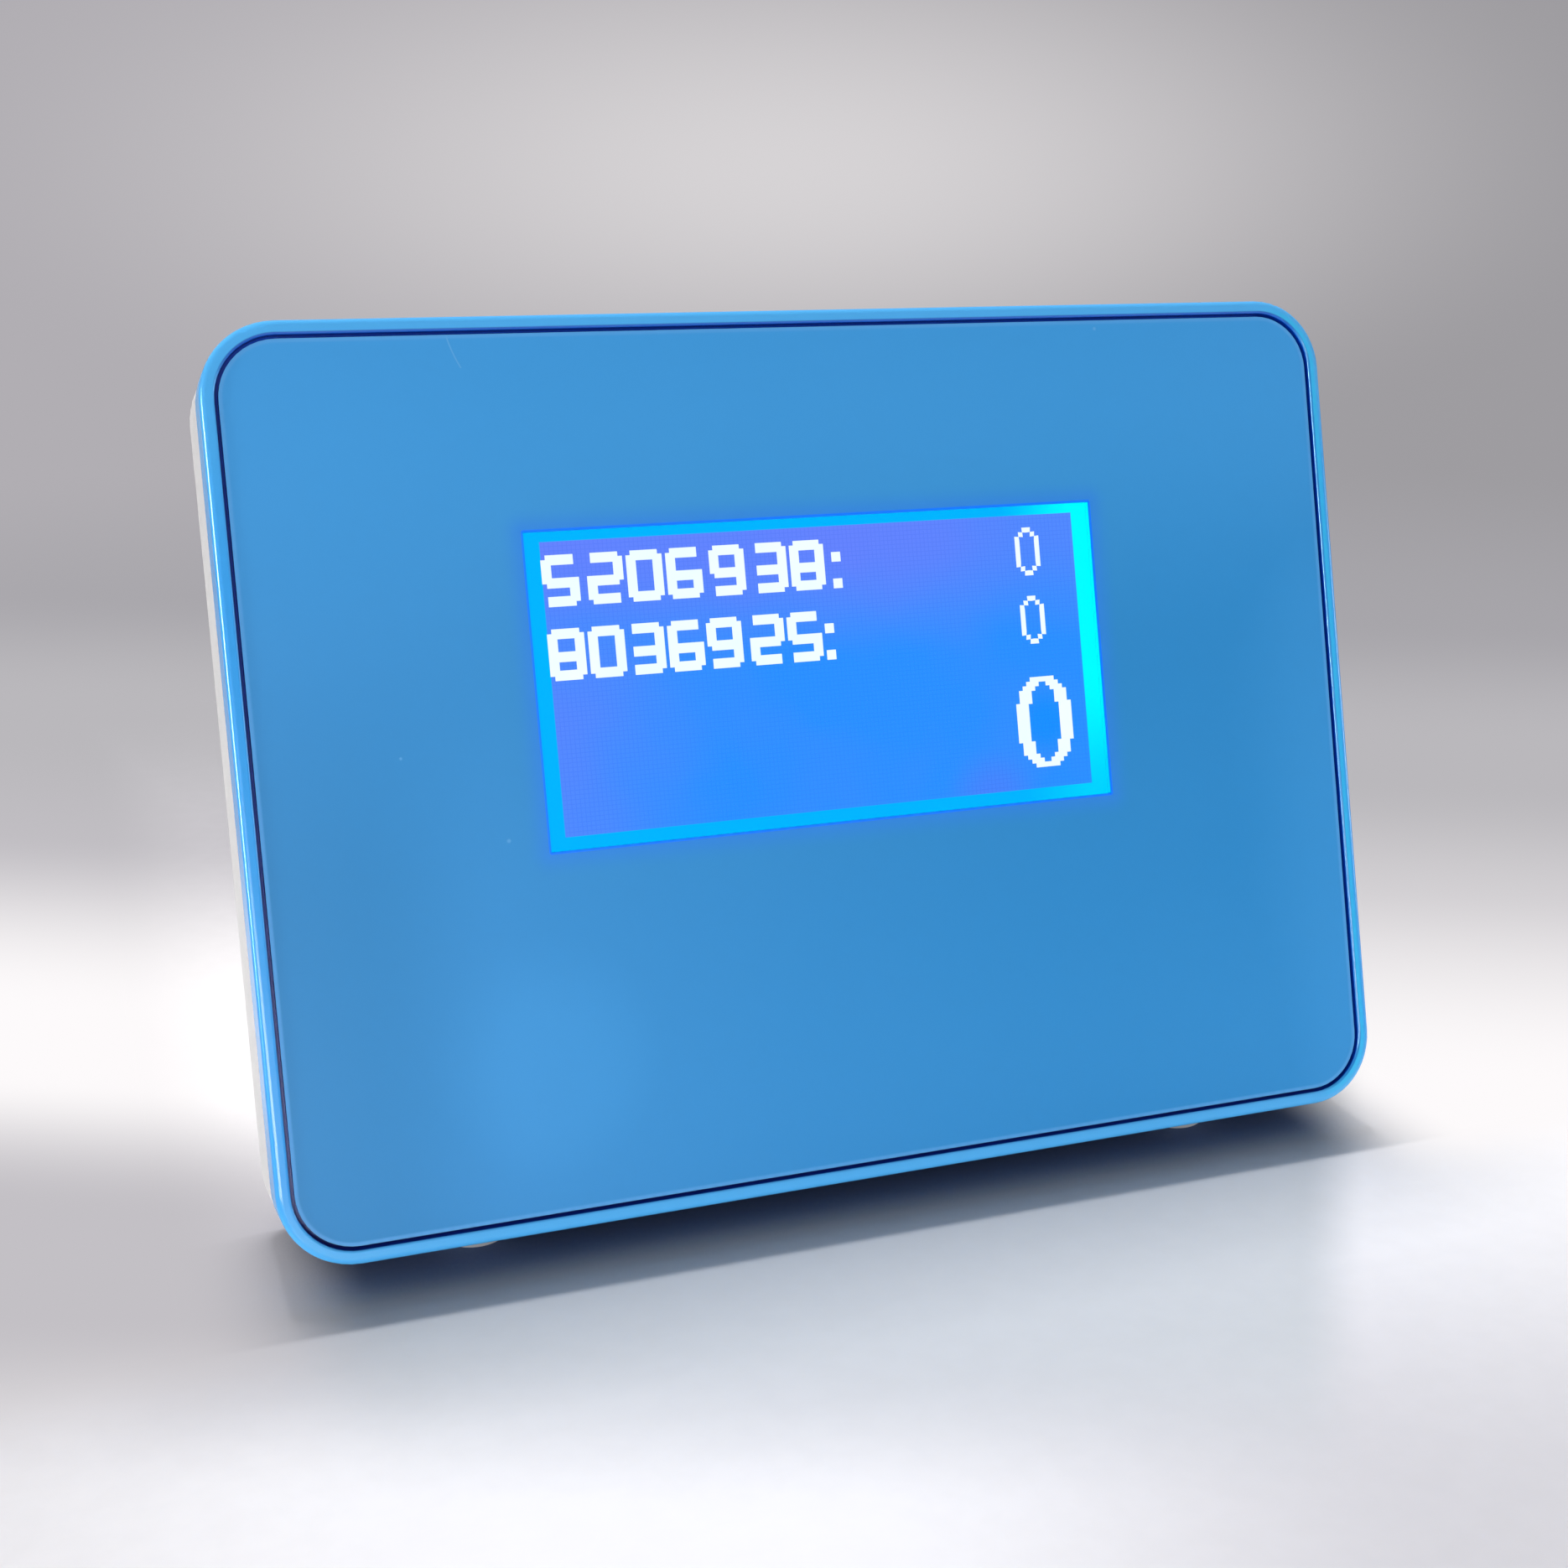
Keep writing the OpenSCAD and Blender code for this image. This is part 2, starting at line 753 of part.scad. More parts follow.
module ribbon_cable() {
    color([0.65, 0.66, 0.7])
        translate([-ribbon_w / 2, 0, 0])
            rotate([90, 0, 90])
                linear_extrude(ribbon_w)
                    polygon(concat(ribbon_side(ribbon_t / 2), backwards(ribbon_side(-ribbon_t / 2))));
}

module main_board() {
    color([0.1, 0.4, 0.22])
        on_back(main_front)
            linear_extrude(board_t)
                difference() {
                    translate([0, main_mid])
                        rounded_rect(main_w, main_h, 1.5);
                    for (p = board_screws_at)
                        translate(p)
                            circle(d = small_screw_d + 4 * fit);
                    translate([0, board_header_z])
                        pin_row()
                            square(pin_s + 2 * fit, center = true);
                }
}

// Gull-wing lead, from the chip's side down to the board
module lead(w, h, l) {
    translate([0, w / 2, 0])
        rotate([90, 0, 0])
            linear_extrude(w)
                polygon([
                    [0, h / 2], [l * 0.4, h / 2], [l * 0.55, 0.2], [l, 0.2],
                    [l, 0], [l * 0.4, 0], [l * 0.3, h / 2 - 0.2], [0, h / 2 - 0.2]
                ]);
}

// Flat chip on a board's face at z = 0, with the same leads on 2 or 4 sides
module flat_chip(size, h, leads, pitch, sides) {
    gap = 0.1;
    lead_l = 1;
    translate([-size.x / 2, -size.y / 2, gap])
        cube([size.x, size.y, h - gap]);
    for (k = [0 : 4 / sides : 3], i = [0 : leads - 1])
        rotate(90 * k)
            translate([(k % 2 == 0 ? size.x : size.y) / 2, (i - (leads - 1) / 2) * pitch, 0])
                lead(pitch * 0.45, h, lead_l);
}

module microcontroller() {
    chip_side = 10;
    chip_h = 1.4;
    lead_pitch = 0.8;
    color([0.13, 0.13, 0.14])
        on_back(main_back)
            translate([microcontroller_at.x, main_mid + microcontroller_at.y, 0])
                flat_chip([chip_side, chip_side], chip_h, leads = 11, pitch = lead_pitch, sides = 4);
}

module line_driver() {
    chip_w = 3.9;
    chip_l = 4.9;
    chip_h = 1.6;
    lead_pitch = 1.27;
    color([0.13, 0.13, 0.14])
        on_back(main_back)
            translate([line_driver_at.x, main_mid + line_driver_at.y, 0])
                flat_chip([chip_w, chip_l], chip_h, leads = 4, pitch = lead_pitch, sides = 2);
}

module quartz_crystal() {
    can_w = 4.2;
    can_l = 10.6;
    can_h = 3.5;
    flange = 0.3;
    flange_h = 0.5;
    color([0.75, 0.75, 0.78])
        on_back(main_back)
            translate([crystal_at.x, main_mid + crystal_at.y, 0]) {
                linear_extrude(flange_h)
                    rotate(90)
                        stadium(can_w + 2 * flange, can_l + 2 * flange);
                linear_extrude(can_h)
                    rotate(90)
                        stadium(can_w, can_l);
            }
}

// Flat regulator with its broad tab above and two leads below
module voltage_regulator() {
    body_w = 6.6;
    body_l = 6;
    body_h = 2.3;
    tab_w = 5.2;
    tab_l = 1.6;
    leg_w = 0.8;
    leg_l = 2.4;
    sheet = 0.5;
    color([0.16, 0.16, 0.17])
        on_back(main_back)
            translate([regulator_at.x, main_mid + regulator_at.y, 0]) {
                translate([-body_w / 2, -body_l / 2, 0])
                    cube([body_w, body_l, body_h]);
                translate([-tab_w / 2, body_l / 2, 0])
                    cube([tab_w, tab_l, sheet]);
                for (s = [-1, 1])
                    translate([s * (body_w - 2) / 2 - leg_w / 2, -body_l / 2 - leg_l, 0])
                        cube([leg_w, leg_l, sheet]);
            }
}

module filter_capacitors() {
    can_r = 3.15;
    can_h = 7.7;
    base_s = 6.7;
    base_h = 0.9;
    color([0.8, 0.8, 0.82])
        on_back(main_back)
            for (p = capacitors_at)
                translate([p.x, main_mid + p.y, 0]) {
                    translate([-base_s / 2, -base_s / 2, 0])
                        cube([base_s, base_s, base_h]);
                    cylinder(r = can_r, h = can_h);
                }
}

module contrast_trimmer() {
    body_w = 6.6;
    body_l = 7;
    body_h = 4;
    knob_r = 2.3;
    knob_h = 4.7;
    slot_l = 3.2;
    slot_w = 0.6;
    slot_d = 0.8;
    color([0.2, 0.4, 0.8])
        on_back(main_back)
            translate([trimmer_at.x, main_mid + trimmer_at.y, 0])
                difference() {
                    union() {
                        translate([-body_w / 2, -body_l / 2, 0])
                            cube([body_w, body_l, body_h]);
                        cylinder(r = knob_r, h = knob_h);
                    }
                    for (a = [0, 90])
                        rotate(a)
                            translate([-slot_l / 2, -slot_w / 2, knob_h - slot_d])
                                cube([slot_l, slot_w, slot_d + over]);
                }
}

// Outline of the space for the plug, with the two steps of its latch below
module plug_space() {
    step_w = [6.4, 3.6]; // widths of the upper and the lower step
    step_low = [1.7, 2.9]; // how far they reach below the plug's space
    step_h = 2; // height of a step, part of it inside the space above
    translate([-plug_space_w / 2, 0])
        square([plug_space_w, plug_space_h]);
    for (i = [0, 1])
        translate([-step_w[i] / 2, -step_low[i]])
            square([step_w[i], step_h]);
}

// Eight-way modular socket that stands on the board and looks out of the upright back
module cable_socket() {
    step_h = 0.6; // step along the upper edge of the foot
    step_d = 4;
    color([0.14, 0.14, 0.15])
        on_back(main_back)
            translate([socket_x, socket_z, 0])
                difference() {
                    translate([-socket_w / 2, -socket_h / 2, 0])
                        cube([socket_w, socket_h, socket_d]);
                    translate([0, -plug_space_low, socket_d - plug_space_d])
                        linear_extrude(plug_space_d + over)
                            plug_space();
                    translate([-socket_w / 2 - over, socket_h / 2 - step_h, -over])
                        cube([socket_w + 2 * over, step_h + over, step_d + over]);
                }
}

// Sprung contact wires along the upper side of the plug space
module socket_contacts() {
    wire = 0.4;
    drop = 1.7;
    wire_pitch = 1.02;
    top = plug_space_h - plug_space_low;
    color([0.85, 0.68, 0.3])
        on_back(main_back)
            for (i = [0 : 7])
                translate([socket_x + (i - 3.5) * wire_pitch - wire / 2, socket_z, socket_d - plug_space_d])
                    rotate([0, 0, 90])
                        rotate([90, 0, 0])
                            linear_extrude(wire)
                                polygon([
                                    [top, 0], [top - drop, 3.4], [top, plug_space_d - 1.6],
                                    [top, plug_space_d - 2.4], [top - drop + wire, 3.6], [top, wire]
                                ]);
}

module module_screws() {
    color([0.75, 0.75, 0.78])
        on_face()
            for (p = module_screws_at)
                translate([p.x, p.y, -lcd_board_back])
                    mirror([0, 0, 1])
                        pan_screw(small_screw_d, module_screw_l, small_head_d, small_head_h);
}

module board_screws() {
    color([0.75, 0.75, 0.78])
        on_back(main_front)
            for (p = board_screws_at)
                translate([p.x, p.y, 0])
                    mirror([0, 0, 1])
                        pan_screw(small_screw_d, board_screw_l, small_head_d, small_head_h);
}

module cover_screws() {
    color([0.7, 0.7, 0.73])
        on_face()
            for (p = cover_screws_at)
                translate([p.x, p.y, -cover_seat])
                    mirror([0, 0, 1])
                        pan_screw(cover_screw_d, cover_screw_l, cover_head_d, cover_head_h);
}

// Everything above a level, to cut the underside flat
module above(z) {
    translate([-reach, -reach, z])
        cube([2 * reach, 2 * reach, reach]);
}

// Tray's body with rounded rear edges, smaller by a given inset all round
module tray_body(inset, front) {
    w = case_w - 2 * cover_inset - 2 * inset;
    h = case_h - 2 * cover_inset - 2 * inset;
    r = corner_r - cover_inset - inset;
    edge = max(tray_r - inset, 0.4);
    back = tray_d - inset;
    slab(front, back - edge)
        rounded_rect(w, h, r);
    slab(back - edge - sink, back)
        rounded_rect(w - 2 * edge, h - 2 * edge, r - edge);
    edge_sweep(w, h, r)
        intersection() {
            translate([-edge, -back + edge])
                circle(edge);
            translate([-edge, -back])
                square(edge);
        }
}

// Place along Y, at a given height, of the plane that lies at a given depth behind the face
function plane_y(depth, z) = face_y + (depth + (z - face_z) * sin(lean)) / cos(lean);

// Side view of the stand, smaller by a given inset and reaching forward to a given depth
module stand_side(inset, front) {
    low = foot_h + inset;
    high = shoulder_z + shoulder_r;
    intersection() {
        polygon([
            [plane_y(front, low), low], [base_d, low],
            [base_d, high], [plane_y(front, high), high]
        ]);
        union() {
            translate([shoulder_y, shoulder_z])
                circle(shoulder_r - inset);
            translate([shoulder_y, 0])
                square([shoulder_r - inset, shoulder_z]);
        }
    }
}

// Stand behind the tray. The round of its long edges runs up the back and over the curved top.
module stand_body(inset, front) {
    w = stand_w - 2 * inset;
    r = stand_r - inset;
    turn_r = shoulder_r - inset - r;
    difference() {
        translate([-w / 2, 0, 0])
            rotate([90, 0, 90])
                linear_extrude(w)
                    stand_side(inset, front);
        for (s = [0, 1])
            mirror([s, 0, 0])
                translate([w / 2 - r, shoulder_y, shoulder_z]) {
                    mirror([0, 0, 1])
                        linear_extrude(reach)
                            translate([0, turn_r])
                                corner_cut(r);
                    rotate([90, 0, 90])
                        rotate_extrude(angle = 90)
                            translate([turn_r, 0])
                                corner_cut(r);
                }
    }
}

module vent_slots() {
    translate([0, shoulder_y, shoulder_z])
        rotate([vent_turn, 0, 0])
            for (i = [0 : vents - 1])
                translate([(i - (vents - 1) / 2) * vent_pitch, shoulder_r + wall, 0])
                    rotate([90, 0, 0])
                        linear_extrude(3 * wall)
                            stadium(vent_w, vent_l);
}

// Shell of the rear cover before its bosses are added
module cover_shell() {
    difference() {
        union() {
            intersection() {
                on_face()
                    tray_body(0, bezel_d);
                above(foot_h);
            }
            stand_body(0, tray_d - wall / 2);
        }
        intersection() {
            on_face()
                tray_body(wall, bezel_d - 1);
            above(floor_z);
        }
        stand_body(wall, tray_d - wall - sink);
        vent_slots();
    }
}

module cover_tongue() {
    inset = skirt_t - rebate_t + fit;
    on_face()
        slab(bezel_d - tongue_l, bezel_d + 1)
            rect_ring(case_w - 2 * inset, case_h - 2 * inset, tongue_t, corner_r - inset);
}

// Corner bosses that the cover screws pass through, kept inside the shell
module cover_bosses() {
    intersection() {
        on_face()
            for (p = cover_screws_at)
                translate(p) {
                    slab(bezel_boss_back + fit, tray_d - sink)
                        circle(cover_screw_d / 2 + boss_t);
                    slab(cover_seat - seat_floor, tray_d - sink)
                        circle(head_hole_r + seat_wall);
                }
        above(foot_h + sink);
    }
}

// Bosses that carry the main board off the upright back, each with a level rib
module board_bosses() {
    boss_l = back_y - wall - main_back;
    rib_w = 12;
    on_back(main_back)
        for (p = board_screws_at)
            translate(p) {
                cylinder(r = small_screw_d / 2 + board_boss_t, h = boss_l + sink);
                translate([-rib_w / 2, -rib_t / 2, boss_l / 2])
                    cube([rib_w, rib_t, boss_l / 2 + sink]);
            }
}

module rear_cover() {
    color([0.9, 0.9, 0.89])
        difference() {
            union() {
                cover_shell();
                cover_tongue();
                cover_bosses();
                board_bosses();
            }
            on_face()
                for (p = cover_screws_at)
                    translate(p) {
                        slab(bezel_boss_back - over, tray_d)
                            circle(d = cover_screw_d + 4 * fit);
                        slab(cover_seat, tray_d + over)
                            circle(head_hole_r);
                    }
            on_back(main_back)
                for (p = board_screws_at)
                    translate([p.x, p.y, -over])
                        cylinder(d = small_screw_d + fit, h = board_screw_l + over);
            translate([socket_x, back_y, socket_z])
                cube([socket_w + 4 * fit, 4 * wall, socket_h + 4 * fit], center = true);
            for (p = feet_at)
                translate([p.x, p.y, foot_h - over])
                    cylinder(d = foot_dia + 2 * fit, h = foot_recess + over);
        }
}

module rubber_feet() {
    edge = 0.8;
    color([0.78, 0.78, 0.77])
        for (p = feet_at)
            translate([p.x, p.y, 0])
                rotate_extrude()
                    polygon([
                        [0, 0], [foot_dia / 2 - edge, 0], [foot_dia / 2, edge],
                        [foot_dia / 2, foot_h + foot_recess], [0, foot_h + foot_recess]
                    ]);
}

front_bezel();
front_panel();
panel_adhesive();
window_lens();
window_gasket();
lcd_frame();
front_polariser();
front_glass();
rear_glass();
rear_polariser();
diffuser_film();
light_guide();
backlight_tray();
backlight_leds();
zebra_strips();
lcd_board();
driver_domes();
lcd_header();
lcd_plug();
ribbon_cable();
board_plug();
board_header();
main_board();
microcontroller();
line_driver();
quartz_crystal();
voltage_regulator();
filter_capacitors();
contrast_trimmer();
cable_socket();
socket_contacts();
module_screws();
board_screws();
cover_screws();
rear_cover();
rubber_feet();
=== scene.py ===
import math

import bpy
import numpy as np
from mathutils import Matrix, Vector


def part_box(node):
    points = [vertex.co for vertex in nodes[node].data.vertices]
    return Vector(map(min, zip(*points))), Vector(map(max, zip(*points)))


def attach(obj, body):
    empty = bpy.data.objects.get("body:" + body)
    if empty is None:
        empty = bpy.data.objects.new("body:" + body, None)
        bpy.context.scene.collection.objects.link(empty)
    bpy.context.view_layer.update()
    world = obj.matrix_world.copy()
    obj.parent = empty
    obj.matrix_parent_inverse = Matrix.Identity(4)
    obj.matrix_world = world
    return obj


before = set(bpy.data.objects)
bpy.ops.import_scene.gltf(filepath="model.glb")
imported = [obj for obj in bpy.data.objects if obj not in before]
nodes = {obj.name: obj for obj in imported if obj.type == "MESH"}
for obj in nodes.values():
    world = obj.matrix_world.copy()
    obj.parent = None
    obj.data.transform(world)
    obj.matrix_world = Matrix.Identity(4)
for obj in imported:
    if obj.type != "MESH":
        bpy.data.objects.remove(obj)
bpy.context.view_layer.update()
mm = 0.001  # in metres
print("frame loaded,", len(nodes), "pieces")


# Node tools
def fill(tree, node, inputs):
    # sockets are linked, anything else becomes the socket's own value
    for key, value in inputs.items():
        if isinstance(value, bpy.types.NodeSocket):
            tree.links.new(value, node.inputs[key])
        else:
            node.inputs[key].default_value = value


def put(tree, kind, inputs=None, **settings):
    node = tree.nodes.new("ShaderNode" + kind)
    for key, value in settings.items():
        setattr(node, key, value)
    fill(tree, node, inputs or {})
    return node


def calc(tree, operation, a, b=0.0, clamp=False):
    return put(tree, "Math", {0: a, 1: b}, operation=operation, use_clamp=clamp).outputs[0]


def product(tree, *factors):
    result = factors[0]
    for factor in factors[1:]:
        result = calc(tree, "MULTIPLY", result, factor)
    return result


def highest(tree, *values):
    result = values[0]
    for value in values[1:]:
        result = calc(tree, "MAXIMUM", result, value)
    return result


def fade(tree, value, low, high, start=0.0, end=1.0):
    # runs smoothly from start to end while value goes from low to high
    inputs = {"Value": value, "From Min": low, "From Max": high, "To Min": start, "To Max": end}
    return put(tree, "MapRange", inputs, interpolation_type="SMOOTHSTEP").outputs[0]


def between(tree, factor, first, second):
    inputs = {0: factor, 6: first, 7: second}
    return put(tree, "Mix", inputs, data_type="RGBA").outputs[2]


def paint(red, green, blue, dim=1.0):
    # screen colour in bytes to linear light, dimmed if asked
    tone = np.array([red, green, blue]) / 255
    light = np.where(tone <= 0.04045, tone / 12.92, ((tone + 0.055) / 1.055) ** 2.4) * dim
    return (*light.tolist(), 1.0)


def startFinish(name):
    finish = bpy.data.materials.new(name)
    finish.use_nodes = True
    tree = finish.node_tree
    tree.nodes.clear()
    shader = put(tree, "BsdfPrincipled")
    put(tree, "OutputMaterial", {"Surface": shader.outputs[0]})
    return finish, tree, shader


def millimetres(tree, stretch=(1, 1, 1)):
    place = put(tree, "TexCoord").outputs["Object"]
    scale = tuple(1000 * s for s in stretch)
    return put(tree, "Mapping", {"Vector": place, "Scale": scale}).outputs[0]


def cloud(tree, point, size, detail=3.0):
    inputs = {"Vector": point, "Scale": 1 / size, "Detail": detail, "Roughness": 0.55}
    return put(tree, "TexNoise", inputs).outputs[0]


def waver(tree, haze, middle, share):
    # a value that a cloud carries from below its middle to above it, by this share
    return fade(tree, haze, 0.25, 0.75, middle * (1 - share), middle * (1 + share))


def flatDistance(tree, point, middle):
    # distance in the face's plane from a point given as right and up
    flat = put(tree, "VectorMath", {0: point, 1: (1, 1, 0)}, operation="MULTIPLY").outputs[0]
    return put(tree, "VectorMath", {0: flat, 1: (*middle, 0)}, operation="DISTANCE").outputs["Value"]


def lift(tree, height, depth):
    return put(tree, "Bump", {"Height": height, "Distance": depth * mm, "Strength": 1.0}).outputs[0]


def dress(finish, *names):
    for name in names:
        slots = nodes[name].data.materials
        slots.clear()
        slots.append(finish)


# The face: right, up and out from the middle of the panel's surface, in millimetres
face = {"lean": math.radians(14.5), "panelThick": 1.0}
faceUp = Vector((0, math.sin(face["lean"]), math.cos(face["lean"])))
faceOut = Vector((0, -math.cos(face["lean"]), math.sin(face["lean"])))
panelLow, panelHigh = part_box("front_panel")
faceMiddle = (panelLow + panelHigh) / 2 + faceOut * face["panelThick"] / 2 * mm


def onFace(tree):
    # turns the point about X so that Y runs up the face and Z out of it
    inputs = {
        "Vector": put(tree, "TexCoord").outputs["Object"],
        "Location": (0, -faceMiddle.dot(faceUp) / mm, -faceMiddle.dot(faceOut) / mm),
        "Rotation": (face["lean"] - math.pi / 2, 0, 0),
        "Scale": (1000, 1000, 1000),
    }
    return put(tree, "Mapping", inputs).outputs[0]


def edgeDistance(tree, point, outline):
    # distance in the face from the edge of a rectangle with round corners, negative inside:
    # the corner's circle beyond both straight sides, and the nearer side elsewhere
    along = put(tree, "SeparateXYZ", {0: point}).outputs
    corner = outline.get("corner", 0.0)
    sides = []
    for axis in (0, 1):
        offset = calc(tree, "ABSOLUTE", calc(tree, "SUBTRACT", along[axis], outline["middle"][axis]))
        sides.append(calc(tree, "SUBTRACT", offset, outline["size"][axis] / 2 - corner))
    outer = [calc(tree, "MAXIMUM", side, 0.0) for side in sides]
    squares = calc(tree, "ADD", *[calc(tree, "MULTIPLY", side, side) for side in outer])
    inner = calc(tree, "MINIMUM", calc(tree, "MAXIMUM", *sides), 0.0)
    return calc(tree, "SUBTRACT", calc(tree, "ADD", calc(tree, "SQRT", squares), inner), corner)


# Moulded plastics, rubbers, foams and films share one recipe with their own numbers
def mouldedFinish(name, look):
    # colour and roughness drift with a broad cloud, and a fine grain lifts the surface
    finish, tree, shader = startFinish(name)
    point = millimetres(tree)
    broad = cloud(tree, point, look.get("cloud", 14))
    fine = cloud(tree, point, look.get("grain", 0.35), 5.0)
    drift = look.get("drift", 0.06)
    shade = between(tree, broad, paint(*look["colour"], 1 - drift), paint(*look["colour"], 1 + drift))
    speck = fade(tree, fine, 0.3, 0.75, 1 - drift / 2, 1 + drift / 2)
    fill(tree, shader, {
        "Base Color": shade,
        "Roughness": product(tree, waver(tree, broad, look["rough"], 0.1), speck),
        "Normal": lift(tree, fine, look.get("relief", 0.01)),
        "Coat Weight": look.get("coat", 0.0),
        "Coat Roughness": 0.12,
        "Sheen Weight": look.get("sheen", 0.0),
        "Subsurface Weight": look.get("glow", 0.0),
        "Subsurface Radius": (1.0, 0.9, 0.8),
        "Subsurface Scale": 0.001,
    })
    return finish


plainFinishes = {
    "coverPale": {"nodes": ["rear_cover"], "colour": (232, 230, 228), "rough": 0.52, "cloud": 30,
                  "grain": 0.4, "relief": 0.022, "drift": 0.02},
    "filmAdhesive": {"nodes": ["panel_adhesive"], "colour": (226, 225, 219), "rough": 0.6},
    "foamBlack": {"nodes": ["window_gasket"], "colour": (38, 38, 40), "rough": 0.9, "grain": 0.25,
                  "relief": 0.05, "drift": 0.15},
    "frameBlack": {"nodes": ["lcd_frame"], "colour": (30, 30, 32), "rough": 0.4, "coat": 0.2},
    "filmWhite": {"nodes": ["diffuser_film", "backlight_tray"], "colour": (236, 238, 242), "rough": 0.5,
                  "glow": 0.1},
    "resinBlack": {"nodes": ["driver_domes"], "colour": (18, 18, 19), "rough": 0.22, "coat": 0.4,
                   "grain": 1.2, "relief": 0.03},
    "chipEpoxy": {"nodes": ["microcontroller", "line_driver", "voltage_regulator", "lcd_header",
                            "board_header"],
                  "colour": (34, 34, 36), "rough": 0.55, "grain": 0.12, "relief": 0.008, "drift": 0.12},
    "plugCream": {"nodes": ["lcd_plug", "board_plug"], "colour": (226, 219, 199), "rough": 0.42,
                  "glow": 0.08},
    "socketBlack": {"nodes": ["cable_socket"], "colour": (32, 32, 34), "rough": 0.32, "coat": 0.1},
    "trimmerBlue": {"nodes": ["contrast_trimmer"], "colour": (38, 92, 190), "rough": 0.38},
    "footRubber": {"nodes": ["rubber_feet"], "colour": (196, 195, 193), "rough": 0.75, "grain": 0.3,
                   "relief": 0.03, "sheen": 0.15},
}
for finishName, finishLook in plainFinishes.items():
    dress(mouldedFinish(finishName, finishLook), *finishLook["nodes"])
print("plastics and rubbers dressed")


# Bezel: glossy blue moulding whose recess round the panel is painted in deep shade.
# A range gives where a share begins and ends, up, right or out of the face or away from the
# recess's edge, and then the share at both ends where it isn't nought and one.
recess = {"middle": (0.0, 0.0), "size": (134.3, 98.5), "corner": 6.9}
bezelLook = {
    "blue": (58, 170, 250),
    "pale": (84, 186, 254),
    "paintedLightUp": (20, 50),
    "paintedLightDown": (-40, -49),
    "rimHighlight": (56, 200, 255),
    "rimHighlightAway": (0.5, 1.1, 0.8, 0.0),
    "rimHighlightRight": (60, 65),
    "shade": (0, 62, 178),
    "shadeAway": (0.0, 0.14, 1.0, 0.0),
    "shadeOut": (0.3, 0.1),
    "shadeBed": (-1.4, -1.3),
    "lineAway": (0.16, 0.36, 0.85, 0.0),
    "shadeLineUp": (43, 48),
    "shadeLineRight": (60, 66, 0.0, 0.7),
    "cloud": 22,
    "rough": 0.22,
    "grain": 0.22,
    "relief": 0.0012,
}


def bezelFinish(look):
    # painted shade covers what lies inside the recess's edge, from its brim down to its bed, and
    # spreads into a painted dark line along the top and down the right side; painted light makes the
    # rim paler at its top and foot, and a painted highlight runs along its right side
    finish, tree, shader = startFinish("caseBlue")
    point = onFace(tree)
    right, up, out = put(tree, "SeparateXYZ", {0: point}).outputs
    broad = cloud(tree, point, look["cloud"])
    away = edgeDistance(tree, point, recess)
    # painted shade inside the recess's edge
    sunk = product(tree, fade(tree, away, *look["shadeAway"]), fade(tree, out, *look["shadeOut"]))
    where = highest(tree, fade(tree, up, *look["shadeLineUp"]), fade(tree, right, *look["shadeLineRight"]))
    # a painted dark line of shade along the top and down the right side
    line = product(tree, fade(tree, away, *look["lineAway"]), where)
    shade = product(tree, highest(tree, sunk, line), fade(tree, out, *look["shadeBed"]))
    drifted = between(tree, broad, paint(*look["blue"], 0.97), paint(*look["blue"], 1.03))
    # painted light: the rim is paler toward its top and toward its foot
    ends = highest(tree, fade(tree, up, *look["paintedLightUp"]), fade(tree, up, *look["paintedLightDown"]))
    # painted highlight along the inner half of the rim's right side
    rimHighlight = product(tree, fade(tree, away, *look["rimHighlightAway"]), fade(tree, right, *look["rimHighlightRight"]))
    blue = between(tree, rimHighlight, between(tree, ends, drifted, paint(*look["pale"])), paint(*look["rimHighlight"]))
    fill(tree, shader, {
        "Base Color": between(tree, shade, blue, paint(*look["shade"])),
        "Roughness": waver(tree, broad, look["rough"], 0.08),
        "Normal": lift(tree, cloud(tree, point, look["grain"], 5.0), look["relief"]),
    })
    return finish


dress(bezelFinish(bezelLook), "front_bezel")
print("bezel dressed")


# Metals: tiny scratches run one way and streak the roughness
def metalFinish(name, look):
    finish, tree, shader = startFinish(name)
    streaks = cloud(tree, millimetres(tree, look["stretch"]), look["streak"], 4.0)
    spots = cloud(tree, millimetres(tree), 2.5)
    shade = between(tree, spots, paint(*look["colour"], 0.88), paint(*look["colour"]))
    fill(tree, shader, {
        "Base Color": shade,
        "Metallic": 1.0,
        "Roughness": fade(tree, streaks, 0.25, 0.75, look["rough"] * 0.75, look["rough"] * 1.3),
        "Normal": lift(tree, streaks, 0.004),
    })
    return finish


metalLooks = {
    "screwZinc": {"nodes": ["module_screws", "board_screws", "cover_screws"], "colour": (196, 198, 204),
                  "rough": 0.3, "streak": 0.15, "stretch": (1, 1, 1)},
    "canMetal": {"nodes": ["quartz_crystal", "filter_capacitors"], "colour": (206, 207, 210),
                 "rough": 0.28, "streak": 0.12, "stretch": (1, 0.1, 1)},
    "contactGold": {"nodes": ["socket_contacts"], "colour": (232, 190, 96), "rough": 0.22,
                    "streak": 0.1, "stretch": (1, 0.15, 1)},
}
for finishName, finishLook in metalLooks.items():
    dress(metalFinish(finishName, finishLook), *finishLook["nodes"])


